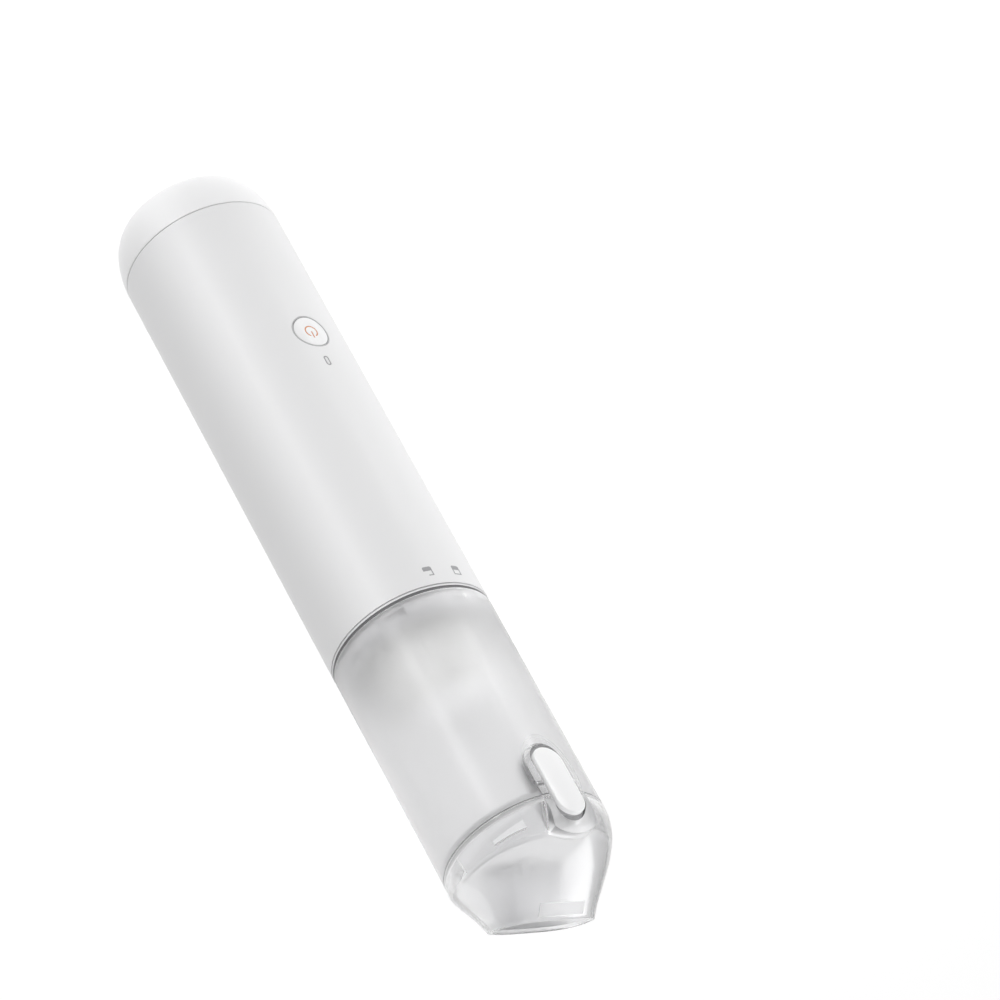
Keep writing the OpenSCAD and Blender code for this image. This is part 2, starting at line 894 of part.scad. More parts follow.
module motor_end_bell() {
  color("silver")
    difference() {
      ring(shaft_d / 2 + 1, motor_r, motor_top - bell_t, motor_top);
      translate([0, 0, motor_top - bell_t - past]) cylinder(r = bearing_r + fit, h = bearing_w + past);
    }
}

module stator_core() {
  color("dimgray")
    difference() {
      union() {
        ring(motor_r - can_wall - 4, motor_r - can_wall - fit, stator_z, stator_top);
        for (a = tooth_angles)
          rotate([0, 0, a])
            box_between([0, -tooth_w / 2, stator_z], [motor_r - can_wall - 2, tooth_w / 2, stator_top]);
      }
      translate([0, 0, stator_z - past])
        cylinder(r = magnet_r + air_gap, h = stator_top - stator_z + 2 * past);
    }
}

module stator_coils() {
  span = 35;
  color("peru")
    for (a = tooth_angles, z = [stator_z - coil_h, stator_top])
      arc_ring(magnet_r + air_gap + 1, motor_r - can_wall - 0.5, z, z + coil_h, a - span, a + span);
}

module motor_bearings() {
  color("lightgray")
    for (z = [motor_z + can_floor, motor_top - bell_t])
      ring(shaft_d / 2 + run, bearing_r, z, z + bearing_w);
}

module motor_shaft() {
  color("silver")
    translate([0, 0, motor_z + can_floor + clear])
      cylinder(d = shaft_d, h = fan_top - motor_z - can_floor);
}

module rotor_magnet() {
  color("dimgray") ring(shaft_d / 2, magnet_r, stator_z + 0.5, stator_top - 0.5);
}

module impeller() {
  blade_r = fan_d * 0.42;
  sweep = 58;
  color("gainsboro") {
    ring(shaft_d / 2, hub_r, fan_z, fan_top - 0.5);
    ring(hub_r, fan_d / 2, fan_z, fan_z + fan_back);
    for (i = [0 : fan_blades - 1])
      rotate([0, 0, 360 * i / fan_blades])
        translate([0, 0, fan_z])
          linear_extrude(fan_h)
            intersection() {
              translate([hub_r - blade_t / 2, -blade_r / 2 - 3])
                difference() {
                  circle(r = blade_r);
                  circle(r = blade_r - blade_t);
                }
              difference() {
                circle(r = fan_d / 2);
                circle(r = hub_r - 0.5);
              }
              polygon([[0, 0], [fan_d, -4], [fan_d * cos(sweep), fan_d * sin(sweep)]]);
            }
  }
}

module diffuser() {
  outer = fan_d / 2 + fan_side - fit;
  vanes = 11;
  vane_len = 5.2;
  vane_t = 1.2;
  vane_turn = 40;
  color("dimgray") {
    ring(motor_r + fit, outer, diffuser_z, vane_z);
    for (i = [0 : vanes - 1])
      rotate([0, 0, 360 * i / vanes])
        translate([outer - vane_len * 0.65, 0, diffuser_z])
          rotate([0, 0, vane_turn])
            box_between(
              [-vane_len / 2, -vane_t / 2, 0], [vane_len / 2, vane_t / 2, diffuser_plate + vane_h]
            );
  }
}

module fan_shroud() {
  wall_r = fan_d / 2 + fan_side;
  color("dimgray")
    difference() {
      union() {
        ring(inlet_r, bore_r - clear, ledge_z - shroud_plate, ledge_z);
        ring(wall_r, wall_r + shroud_wall, diffuser_z, ledge_z - shroud_plate);
        ring(inlet_r, inlet_r + 1.5, ledge_z - shroud_plate - 1, ledge_z);
      }
      polar(shroud_screw_angles, shroud_screw_r)
        translate([0, 0, ledge_z - shroud_plate - past])
          cylinder(d = screw_d + 2 * fit, h = shroud_plate + 2 * past);
    }
}

module shroud_screws() {
  seat = ledge_z - shroud_plate;
  color("silver")
    polar(shroud_screw_angles, shroud_screw_r)
      translate([0, 0, seat]) screw(ledge_top + 7 - seat);
}

module motor_leads() {
  y = board_y + board_t + plug_t / 2;
  color("goldenrod")
    for (x = motor_lead_x)
      lead([
        [x, y, board_z + board_h * plug_high], [x, y, board_z + board_h],
        [x, motor_lead_y, frame_top - frame_top_t - board_gap / 5],
        [x, motor_lead_y, motor_z], [x, motor_lead_y, motor_z + can_floor + 2]
      ], lead_d);
}

module exhaust_filter() {
  half = vent_cols[4] + vent_angle / 2 + foam_margin;
  reach = vent_pitch * (vent_rows - 1) / 2 + vent_h / 2 + foam_margin;
  middle = vent_z + vent_pitch * (vent_rows - 1) / 2;
  color("darkgray")
    arc_ring(
      bore_r - clear - foam_t, bore_r - clear, middle - reach, middle + reach, 90 - half, 90 + half
    );
}

module cup_collar() {
  top = z_cup + neck_h;
  neck_in = neck_r - neck_wall;
  shoulder = body_end - clear;
  seat_z = body_end + seat_gap;
  color("whitesmoke")
    difference() {
      rotate_extrude()
        polygon([
          [bulkhead_r, ledge_top], [bore_r - fit, ledge_top], [bore_r - fit, seat_z],
          [R - seat_in, seat_z], [R - seat_in, gasket_z], [neck_r, gasket_z],
          [neck_r, top], [neck_in, top], [neck_in, shoulder],
          [recess_r, shoulder - 1], [recess_r, filter_seat], [bulkhead_r, filter_seat]
        ]);
      for (a = lug_angles) {
        arc_ring(
          groove_r, neck_r + past, lug_z - clear, lug_z + lug_h + clear,
          a - lug_angle / 2 - groove_angle, a + twist + lug_angle / 2 + groove_angle
        );
        arc_ring(
          groove_r - fit, neck_r + past, lug_z + lug_h / 2, top + past,
          a + twist - lug_angle / 2 - groove_angle, a + twist + lug_angle / 2 + 1.5 * groove_angle
        );
      }
      polar(shroud_screw_angles, shroud_screw_r)
        translate([0, 0, ledge_top - past]) cylinder(d = screw_d + 2 * run, h = 8 + past);
    }
}

module cup_gasket() {
  color("dimgray") ring(neck_r + fit, R - gasket_in, gasket_z, gasket_z + gasket_t);
}

module filter_base() {
  color("whitesmoke")
    ring(bulkhead_r + 1, filter_flange_r, filter_seat + filter_seal_t, filter_z);
}

module filter_seal() {
  color("dimgray") ring(recess_r - 4, filter_flange_r, filter_seat, filter_seat + filter_seal_t);
}

// A folded outline: its points step in and out, and the wall runs along the folds
module pleat_line(r) {
  polygon([
    for (i = [0 : 2 * pleats - 1])
      let (a = 180 * i / pleats, d = r - (i % 2) * pleat_depth)
      [d * cos(a), d * sin(a)]
  ]);
}

module filter_pleats() {
  color("white")
    translate([0, 0, filter_z])
      linear_extrude(filter_top - filter_z, scale = filter_top_d / filter_base_d)
        difference() {
          pleat_line(filter_base_d / 2);
          pleat_line(filter_base_d / 2 - pleat_wall);
        }
}

module filter_cap() {
  color("white") ring(0, filter_top_d / 2 + 0.6, filter_top, filter_top + filter_cap_t);
}

module dust_cup() {
  top = z_lid - half_seam;
  slot_w = latch_w + 2 * latch_side;
  slot_z = latch_z - latch_end;
  knuckle_half = (knuckle_end - cup_knuckle) / 2;
  web_y = sqrt(pow(R, 2) - pow(knuckle_end, 2)) - cup_wall / 3;
  color("lightgray", 0.5)
    difference() {
      union() {
        ring(cup_r, R, cup_start, top);
        for (a = lug_angles)
          arc_ring(
            cup_r - lug_depth, cup_r + cup_wall / 2, lug_z, lug_z + lug_h,
            a - lug_angle / 2, a + lug_angle / 2
          );
        intersection() {
          along_y(-R, -recess_y + recess_wall)
            rounded_below(slot_w + 2 * recess_wall, slot_z - recess_wall, top);
          translate([0, 0, cup_start]) cylinder(r = R, h = top - cup_start);
        }
        for (s = [-1, 1])
          translate([s * (cup_knuckle + knuckle_end) / 2, 0, 0]) {
            bar_x(knuckle_r, -knuckle_half, knuckle_half, hinge_y, z_lid);
            along_x(knuckle_half)
              polygon([
                [web_y, top], [hinge_y, top], [hinge_y + knuckle_r * 0.7, z_lid - knuckle_r * 0.7],
                [web_y, z_lid - web_h]
              ]);
          }
      }
      along_y(-R - recess_depth, -recess_y) rounded_below(slot_w, slot_z, top + past);
      bar_x(pin_d / 2 + fit / 4, -boss_half, boss_half, -pivot_y, pivot_z);
      bar_x(pin_d / 2 + fit / 4, -knuckle_end - past, knuckle_end + past, hinge_y, z_lid);
      bar_x(knuckle_r + clear, -cup_knuckle, cup_knuckle, hinge_y, z_lid);
    }
}

module latch_pin() {
  half = latch_w / 2 + latch_side + recess_wall;
  color("silver") bar_x(pin_d / 2, -half, half, -pivot_y, pivot_z);
}

module latch_spring() {
  length = latch_back - carrier_t - recess_y - fit - spring_wire;
  count = spring_turns * spring_rings;
  rings = [
    for (k = [0 : count])
      let (
        a = 360 * k / spring_rings,
        y = -recess_y - fit / 2 - spring_wire / 2 - length * k / count,
        middle = [spring_r * cos(a), y, spring_z + spring_r * sin(a)],
        out = [cos(a), 0, sin(a)]
      )
      [
        for (i = [0 : spring_sides - 1])
          let (w = 360 * i / spring_sides)
          middle + spring_wire / 2 * (out * cos(w) + [0, -1, 0] * sin(w))
      ]
  ];
  echo(least_gap_of_the_spring = length / spring_turns - spring_wire);
  color("silver") tube_skin(rings);
}

module latch_lever() {
  carrier_back = latch_back - carrier_t;
  color("gainsboro")
    difference() {
      union() {
        along_y(-latch_back, -carrier_back)
          translate([0, (latch_z + latch_top) / 2])
            stadium(latch_w - 2 * carrier_in, latch_len - 2 * carrier_in);
        bar_x(barrel_r, -barrel_half, barrel_half, -pivot_y, pivot_z);
        box_between(
          [-hook_half, -carrier_back - carrier_t / 2, hook_z], [hook_half, -hook_y, hook_z + hook_h]
        );
      }
      bar_x(pin_d / 2 + run, -R, R, -pivot_y, pivot_z);
    }
}

module latch_face() {
  face = R + latch_proud;
  color("white")
    along_y(-face, -face + latch_face_t)
      translate([0, (latch_z + latch_top) / 2]) stadium(latch_w, latch_len);
}

module hinge_pin() {
  color("silver") bar_x(pin_d / 2, -knuckle_end, knuckle_end, hinge_y, z_lid);
}

module lid_shell() {
  steps = [for (k = [0 : lid_rings - 1]) k / (lid_rings - 1)];
  ring_skin(concat(
    [rim_ring(0)],
    [for (t = steps) lid_ring(t, 0)],
    [for (k = [lid_rings - 1 : -1 : 0]) lid_ring(steps[k], lid_wall)],
    [rim_ring(lid_wall)]
  ));
}

// The boss around the latch's nozzle end, as a solid block
module latch_boss(grow) {
  intersection() {
    along_y(-R, -recess_y + recess_wall + grow)
      intersection() {
        translate([-boss_half - grow, lid_start]) square([2 * (boss_half + grow), boss_len + grow]);
        translate([0, z_lid]) circle(r = boss_len + grow);
      }
    along_x(boss_half + grow + past)
      polygon([
        [-R, lid_start], [-R, z_lid + boss_straight], [-R + boss_drop, z_lid + boss_len + grow],
        [0, z_lid + boss_len + grow], [0, lid_start]
      ]);
    translate([0, 0, lid_start]) cylinder(r = R, h = boss_len + 2 * past);
  }
}

module nozzle_lid() {
  slot_w = latch_w + 2 * latch_side;
  web_y = R - lid_wall + 0.3;
  relief = knuckle_end + clear;
  catch_half = hook_half + 0.5;
  color("lightgray", 0.4)
    union() {
      difference() {
        union() {
          lid_shell();
          latch_boss(0);
          bar_x(knuckle_r, -lid_knuckle, lid_knuckle, hinge_y, z_lid);
          box_between([-lid_knuckle, web_y, lid_start], [lid_knuckle, hinge_y, z_lid + knuckle_r]);
        }
        along_y(-R - recess_depth, -recess_y)
          rounded_above(slot_w, z_lid - past, latch_top + latch_end);
        bar_x(pin_d / 2 + run, -R, R, hinge_y, z_lid);
        for (s = [-1, 1])
          bar_x(
            knuckle_r + clear, min(s * lid_knuckle, s * relief), max(s * lid_knuckle, s * relief),
            hinge_y, z_lid
          );
      }
      box_between(
        [-catch_half, -catch_y, catch_z], [catch_half, -recess_y + recess_wall / 2, catch_z + catch_h]
      );
    }
}

module lid_insert() {
  outer = lid_wall + insert_gap;
  inner = outer + insert_wall;
  steps = [for (k = [0 : insert_rings - 1]) insert_share * k / (insert_rings - 1)];
  spigot_out = cup_r - clear;
  spigot_in = R - inner;
  low = z_lid - spigot_drop;
  groove = low + seal_lip;
  color("whitesmoke", 0.5)
    difference() {
      union() {
        ring_skin(concat(
          [rim_ring(outer)],
          [for (t = steps) lid_ring(t, outer)],
          [for (k = [insert_rings - 1 : -1 : 0]) lid_ring(steps[k], inner)],
          [rim_ring(inner)]
        ));
        rotate_extrude()
          polygon([
            [spigot_in - 0.4, lid_start + 1], [spigot_in - 0.4, low], [spigot_out, low],
            [spigot_out, groove], [spigot_out - seal_t, groove], [spigot_out - seal_t, groove + seal_h],
            [spigot_out, groove + seal_h], [spigot_out, lid_start + 1]
          ]);
      }
      for (a = window_angles)
        arc_ring(
          spigot_in - 6, spigot_in + 0.6, window_z, window_z + window_h,
          a - 90 - window_angle / 2, a - 90 + window_angle / 2
        );
      latch_boss(fit);
      box_between(
        [-recess_half, -R, low - past],
        [recess_half, -recess_y + recess_wall + clear, lid_start + past]
      );
    }
}

module lid_seal() {
  z0 = z_lid - spigot_drop + seal_lip;
  gap = asin((recess_half + fit) / (cup_r - clear));
  color("white")
    arc_ring(cup_r - clear - seal_t, cup_r - clear, z0, z0 + seal_h, -90 + gap, 270 - gap);
}

module intake_duct() {
  low = flap_axis_v - flap_barrel_r;
  high = flap_axis_v + flap_barrel_r;
  below = duct_end - flap_axis_d - flap_barrel_r;
  color("gainsboro", 0.5)
    difference() {
      union() {
        behind_mouth(duct_end)
          linear_extrude(duct_len)
            polygon(oval(duct_half_w, duct_half_d, 3, lid_sides));
        for (s = [-1, 1])
          behind_mouth(duct_end)
            translate([s * (flap_barrel_half + clear + flap_lug_w / 2), 0, 0])
              along_x(flap_lug_w / 2)
                polygon([
                  [low, below], [high, below], [high, 0], [low + flap_lug_grip, 0],
                  [low + flap_lug_grip, flap_lug_h], [low, flap_lug_h]
                ]);
      }
      behind_mouth(duct_end + past + 3)
        linear_extrude(duct_len + 2 * past + 3)
          polygon(oval(duct_half_w - duct_wall, duct_half_d - duct_wall, 3, lid_sides));
      behind_mouth(flap_axis_d) bar_x(trunnion_r + run, -R, R, flap_axis_v, 0);
    }
}

module intake_flap() {
  reach = flap_barrel_half + clear + flap_lug_w;
  color("silver", 0.6)
    behind_mouth(flap_axis_d) {
      bar_x(flap_barrel_r, -flap_barrel_half, flap_barrel_half, flap_axis_v, 0);
      bar_x(trunnion_r, -reach, reach, flap_axis_v, 0);
      translate([0, 0, -flap_t / 2]) {
        linear_extrude(flap_t)
          intersection() {
            polygon(oval(duct_half_w, duct_half_d, 3, lid_sides));
            translate([-R, flap_axis_v + flap_barrel_r + clear + 1]) square([2 * R, 2 * R]);
          }
        linear_extrude(flap_t)
          translate([-flap_barrel_half + 1, flap_axis_v])
            square([2 * flap_barrel_half - 2, -flap_axis_v]);
      }
    }
}

tail_cap();
tail_screws();
usb_socket();
usb_board();
body_tube();
inner_frame();
battery_cells();
rear_cell_holder();
front_cell_holder();
cell_tabs();
battery_leads();
control_board();
board_components();
button_board();
tact_switch();
status_led();
status_light();
button_bezel();
power_button();
power_symbol();
switch_plunger();
motor_bush();
motor_can();
motor_end_bell();
stator_core();
stator_coils();
motor_bearings();
motor_shaft();
rotor_magnet();
impeller();
diffuser();
fan_shroud();
shroud_screws();
motor_leads();
exhaust_filter();
cup_collar();
cup_gasket();
filter_base();
filter_seal();
filter_pleats();
filter_cap();
dust_cup();
latch_pin();
latch_spring();
latch_lever();
latch_face();
hinge_pin();
nozzle_lid();
lid_insert();
lid_seal();
intake_duct();
intake_flap();
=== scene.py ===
import json
import math

import bmesh
import bpy
from mathutils import Matrix, Vector

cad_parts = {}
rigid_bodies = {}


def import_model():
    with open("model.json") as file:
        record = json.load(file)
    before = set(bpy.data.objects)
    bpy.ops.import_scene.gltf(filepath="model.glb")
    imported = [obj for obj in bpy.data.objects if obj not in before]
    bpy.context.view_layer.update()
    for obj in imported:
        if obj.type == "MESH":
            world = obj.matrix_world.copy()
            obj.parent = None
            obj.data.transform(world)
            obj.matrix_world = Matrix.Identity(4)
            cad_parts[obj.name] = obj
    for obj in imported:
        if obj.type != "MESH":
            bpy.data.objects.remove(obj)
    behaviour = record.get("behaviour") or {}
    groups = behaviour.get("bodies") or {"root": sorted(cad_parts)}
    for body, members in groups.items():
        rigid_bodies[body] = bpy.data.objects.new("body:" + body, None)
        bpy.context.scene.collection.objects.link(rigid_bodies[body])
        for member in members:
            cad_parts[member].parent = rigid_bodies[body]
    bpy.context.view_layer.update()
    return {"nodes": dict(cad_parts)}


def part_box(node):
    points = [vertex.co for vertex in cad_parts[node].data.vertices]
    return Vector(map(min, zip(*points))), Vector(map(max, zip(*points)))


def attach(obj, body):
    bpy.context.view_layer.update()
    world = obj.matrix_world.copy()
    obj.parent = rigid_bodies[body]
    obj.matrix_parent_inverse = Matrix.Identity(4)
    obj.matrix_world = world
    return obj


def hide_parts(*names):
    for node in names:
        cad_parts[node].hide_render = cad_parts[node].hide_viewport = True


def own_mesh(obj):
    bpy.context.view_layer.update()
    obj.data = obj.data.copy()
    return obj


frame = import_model()

# Studio: a pale floor that the vacuum stands on, and a long lens from the front right, with the nozzle low.
# Three large soft lamps light it from the sides and above. Small ones give the nozzle, the latch, the lid
# and the two edges of the tube their sheen.
mm = 0.001
scene = bpy.context.scene
shown = scene.collection.objects
lens = 221.94
sensor = 36
far_clip = 100
camera_place = Vector((1371.248, -1410.775, 1381.551)) * mm
camera_right = Vector((-0.79094, -0.44578, 0.41916))
camera_down = Vector((0.01754, 0.66822, 0.74375))
camera_ahead = Vector((-0.61165, 0.59561, -0.5207))
clear_walls = 32
sky_strength = 0.2
floor_half = 12
floor_tone = 0.5
floor_glow = 0.78
floor_middle = (0, 0, 0)
strip_middle = (0, 0, 0.15)
tube_middle = (0, 0, 0.17)
cup_middle = (0, 0, 0.25)
latch_middle = (0, 0, 0.33)

camera_data = bpy.data.cameras.new("camera")
camera_data.lens = lens
camera_data.sensor_width = sensor
camera_data.clip_end = far_clip
camera = bpy.data.objects.new("camera", camera_data)
shown.link(camera)
turn = Matrix((camera_right, -camera_down, -camera_ahead)).transposed().to_4x4()
camera.matrix_world = Matrix.Translation(camera_place) @ turn
scene.camera = camera
scene.view_settings.view_transform = "Standard"
scene.cycles.max_bounces = clear_walls
scene.cycles.transmission_bounces = clear_walls

sky = bpy.data.worlds.new("studio")
sky.use_nodes = True
sky.node_tree.nodes["Background"].inputs["Color"].default_value = (1, 1, 1, 1)
sky.node_tree.nodes["Background"].inputs["Strength"].default_value = sky_strength
scene.world = sky


def soft_lamp(name, place, aim, size, power):
    """A lamp with a soft square or strip face, which the camera doesn't see."""
    data = bpy.data.lights.new(name, "AREA")
    data.shape = "RECTANGLE"
    data.size, data.size_y = size
    data.energy = power
    lamp = bpy.data.objects.new(name, data)
    shown.link(lamp)
    lamp.location = place
    lamp.rotation_euler = (Vector(aim) - Vector(place)).to_track_quat("-Z", "Y").to_euler()
    lamp.visible_camera = False
    return lamp


soft_lamp("key_lamp", (-1.6, -1.6, 0.5), tube_middle, (1, 1), 11)
soft_lamp("fill_lamp", (0.9, 1.9, 0.6), tube_middle, (1, 1), 6.2)
soft_lamp("top_lamp", (0, 0, 1.8), floor_middle, (1.5, 1.5), 5)
nozzle_lamp = soft_lamp("nozzle_lamp", (0.05, -0.05, 0.95), cup_middle, (0.2, 0.2), 1.5)
nozzle_lamp.visible_glossy = False
nozzle_lamp.visible_transmission = False
soft_lamp("latch_lamp", (-0.9, -0.9, 1.15), latch_middle, (0.4, 0.4), 1.8)
sheen_lamp = soft_lamp("sheen_lamp", (-1.05, -0.24, 1.24), latch_middle, (0.5, 0.5), 4.5)
sheen_lamp.visible_diffuse = False
sheen_lamp.visible_transmission = False
soft_lamp("left_strip", (-0.039, -0.103, 0.15), strip_middle, (0.01, 0.3), 0.032)
soft_lamp("front_strip", (0.0487, -0.0351, 0.15), strip_middle, (0.008, 0.3), 0.0186)

floor_shape = bmesh.new()
bmesh.ops.create_grid(floor_shape, x_segments=1, y_segments=1, size=floor_half)
floor_mesh = bpy.data.meshes.new("floor")
floor_shape.to_mesh(floor_mesh)
floor_shape.free()
floor = bpy.data.objects.new("floor", floor_mesh)
shown.link(floor)
floor_finish = bpy.data.materials.new("pale_floor")
floor_finish.use_nodes = True
floor_coat = floor_finish.node_tree.nodes["Principled BSDF"]
floor_coat.inputs["Base Color"].default_value = (floor_tone, floor_tone, floor_tone, 1)
floor_coat.inputs["Roughness"].default_value = 0.9
floor_coat.inputs["Emission Color"].default_value = (1, 1, 1, 1)
floor_coat.inputs["Emission Strength"].default_value = floor_glow
floor_mesh.materials.append(floor_finish)

# Tail cap: one white moulding with a rounded end, pushed into the body tube by its plug.
# Three screws and the charging socket sit in its flat end.
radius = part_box("body_tube")[1].x
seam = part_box("body_tube")[0].z
rear_flat = 23 * mm
inner_flat = rear_flat - 1.5 * mm
cap_wall = 2.4 * mm
cap_top = seam - 0.3 * mm
edge = 0.3 * mm
edge_middle = 0.3 * edge
corner_steps = 36
plug_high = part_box("tail_cap")[1].z
plug_r = radius - 2.1 * mm
plug_bore = plug_r - 1.6 * mm
screw_circle = 18.5 * mm
screw_angles = (30, 150, 270)
screw_hole_r = 2.9 * mm
screw_hole_deep = 6 * mm
socket_y = 10 * mm
socket_end_r = 1.73 * mm
socket_stretch = 2.84 * mm
socket_deep = 8 * mm
post_sides = 40
weld = 1e-7
cut_weld = 1e-6
cut_sliver = 5e-6
sharp_angle = math.radians(35)


def moulded(name, colour, roughness, grain=0.35, depth=0.012, drift=0.03):
    """Moulded plastic: a fine grain from the tool, and a tone that drifts over the moulding."""
    finish = bpy.data.materials.new(name)
    finish.use_nodes = True
    nodes = finish.node_tree.nodes
    links = finish.node_tree.links
    coat = nodes["Principled BSDF"]
    place = nodes.new("ShaderNodeTexCoord")
    fine = nodes.new("ShaderNodeTexNoise")
    fine.inputs["Scale"].default_value = 1 / (grain * mm)
    fine.inputs["Detail"].default_value = 3
    broad = nodes.new("ShaderNodeTexNoise")
    broad.inputs["Scale"].default_value = 18
    broad.inputs["Detail"].default_value = 2
    tone = nodes.new("ShaderNodeMix")
    tone.data_type = "RGBA"
    tone.inputs["A"].default_value = (*colour, 1)
    tone.inputs["B"].default_value = (*[c * (1 - drift) for c in colour], 1)
    sheen = nodes.new("ShaderNodeMapRange")
    sheen.inputs["To Min"].default_value = roughness - 0.05
    sheen.inputs["To Max"].default_value = roughness + 0.05
    relief = nodes.new("ShaderNodeBump")
    relief.inputs["Strength"].default_value = 0.35
    relief.inputs["Distance"].default_value = depth * mm
    for texture in (fine, broad):
        links.new(place.outputs["Object"], texture.inputs["Vector"])
    links.new(broad.outputs["Fac"], tone.inputs["Factor"])
    links.new(tone.outputs["Result"], coat.inputs["Base Color"])
    links.new(broad.outputs["Fac"], sheen.inputs["Value"])
    links.new(sheen.outputs["Result"], coat.inputs["Roughness"])
    links.new(fine.outputs["Fac"], relief.inputs["Height"])
    links.new(relief.outputs["Normal"], coat.inputs["Normal"])
    return finish


def turned(outline, steps=160, from_angle=0, angle=360):
    """Turns an outline of radius and height about Z: a full turn, or a block of an arc."""
    bm = bmesh.new()
    start = Matrix.Rotation(math.radians(from_angle), 3, "Z")
    ring = [bm.verts.new(start @ Vector((r, 0, z))) for r, z in outline]
    full = angle == 360
    if full:
        geom = ring + [bm.edges.new(pair) for pair in zip(ring, ring[1:] + ring[:1])]
    else:
        face = bm.faces.new(ring)
        geom = [face, *face.edges, *face.verts]
    bmesh.ops.spin(
        bm, geom=geom, axis=(0, 0, 1), cent=(0, 0, 0),
        angle=math.radians(angle), steps=steps, use_merge=full,
    )
    bmesh.ops.remove_doubles(bm, verts=bm.verts, dist=weld)
    bmesh.ops.dissolve_degenerate(bm, edges=bm.edges, dist=weld)
    bmesh.ops.delete(bm, geom=[e for e in bm.edges if not e.link_faces], context="EDGES")
    bmesh.ops.recalc_face_normals(bm, faces=bm.faces)
    return bm


def post(r, high):
    """A round post about Z, half of it above the origin and half below."""
    bm = bmesh.new()
    bmesh.ops.create_cone(bm, cap_ends=True, segments=post_sides, radius1=r, radius2=r, depth=high)
    return bm


def new_piece(name, bm, finish):
    """Makes an object of a shape, shaded smooth up to the sharp angle."""
    mesh = bpy.data.meshes.new(name)
    bm.to_mesh(mesh)
    bm.free()
    mesh.materials.append(finish)
    mesh.shade_smooth()
    mesh.set_sharp_from_angle(angle=sharp_angle)
    piece = bpy.data.objects.new(name, mesh)
    shown.link(piece)
    return piece


def carve(piece, tools, operation="DIFFERENCE", finish=0):
    """Cuts the tools out of a piece, or joins them to it, and keeps the result as its mesh.
    The new faces take the piece's finish of that number."""
    for bm in tools:
        for face in bm.faces:
            face.material_index = finish
        tool = new_piece("tool", bm, piece.data.materials[0])
        step = piece.modifiers.new("carve", "BOOLEAN")
        step.operation = operation
        step.solver = "EXACT"
        step.object = tool
        bpy.context.view_layer.update()
        seen = piece.evaluated_get(bpy.context.evaluated_depsgraph_get())
        mesh = bpy.data.meshes.new_from_object(seen)
        piece.modifiers.clear()
        old, piece.data = piece.data, mesh
        mesh.name = piece.name
        bpy.data.meshes.remove(old)
        bpy.data.meshes.remove(tool.data)
    bm = bmesh.new()
    bm.from_mesh(piece.data)
    bmesh.ops.remove_doubles(bm, verts=bm.verts, dist=cut_weld)
    bmesh.ops.triangulate(bm, faces=[f for f in bm.faces if len(f.verts) > 4])
    bmesh.ops.dissolve_degenerate(bm, edges=bm.edges, dist=cut_sliver)
    bm.to_mesh(piece.data)
    bm.free()
    piece.data.shade_smooth()
    piece.data.set_sharp_from_angle(angle=sharp_angle)


def place_piece(piece, body, slot, *nodes):
    """Fixes a finished piece to its body and hides the solids that it stands for. The slot is not used."""
    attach(piece, body)
    if nodes:
        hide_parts(*nodes)


white_cap = moulded("white_cap_plastic", (0.86, 0.86, 0.865), 0.34)
outer = [(0, 0), (rear_flat, 0)]
for k in range(1, corner_steps + 1):
    a = math.pi / 2 * k / corner_steps
    x = rear_flat + (radius - rear_flat) * math.sin(a)
    outer.append((x, (cap_top - edge) * (1 - math.cos(a))))
outer += [(radius - edge_middle, cap_top - edge_middle), (radius - edge, cap_top), (plug_r, cap_top)]
inner = [(plug_r, plug_high), (plug_bore, plug_high), (plug_bore, seam)]
for k in range(corner_steps // 2 + 1):
    a = math.pi / 2 * (1 - k / (corner_steps / 2))
    x = inner_flat + (plug_bore - inner_flat) * math.sin(a)
    inner.append((x, cap_wall + (seam - cap_wall) * (1 - math.cos(a))))
inner.append((0, cap_wall))
tail = new_piece("tail_cap_shell", turned(outer + inner), white_cap)
tools = []
for angle in screw_angles:
    hole = post(screw_hole_r, screw_hole_deep)
    spot = Matrix.Rotation(math.radians(angle), 4, "Z") @ Matrix.Translation((screw_circle, 0, 0))
    bmesh.ops.transform(hole, matrix=spot, verts=hole.verts)
    tools.append(hole)
socket_hole = post(socket_end_r, socket_deep)
for v in socket_hole.verts:
    v.co.x += math.copysign(socket_stretch, v.co.x) if abs(v.co.x) > weld else 0
    v.co.y += socket_y
tools.append(socket_hole)
carve(tail, tools)
place_piece(tail, "body", "white_cap", "tail_cap")

# Body tube: one white satin moulding, from the tail seam to the dark gasket of the cup.
# The button hole, the light slot and the exhaust slots are moulded in it.
# A fine shadow gap runs round its front rim, and a ledge inside carries the fan's shroud and the neck.
white_body = moulded("white_body_plastic", (0.79, 0.79, 0.795), 0.42)
bore = radius - 2 * mm
body_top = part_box("body_tube")[1].z
ledge_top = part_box("cup_collar")[0].z
ledge_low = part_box("fan_shroud")[1].z
ledge_r = bore - 5.1 * mm
gap_low = body_top - 0.45 * mm
gap_floor = radius - 1 * mm
gap_edge = 0.1 * mm
fit = 0.1 * mm
button_low, button_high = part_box("button_bezel")
button_z = (button_low.z + button_high.z) / 2
hole_r = (button_high.x - button_low.x) / 2 + fit
light_low, light_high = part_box("status_light")
light_z = (light_low.z + light_high.z) / 2
light_w = 2.1 * mm
light_len = 4.6 * mm
vent_z = (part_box("motor_can")[0].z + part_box("motor_end_bell")[1].z) / 2
vent_rows = 8
vent_pitch = 4.4 * mm
vent_h = 2 * mm
vent_w = 5.7 * mm
vent_angles = (-28, -14, 0, 14, 28)
round_enough = 0.985


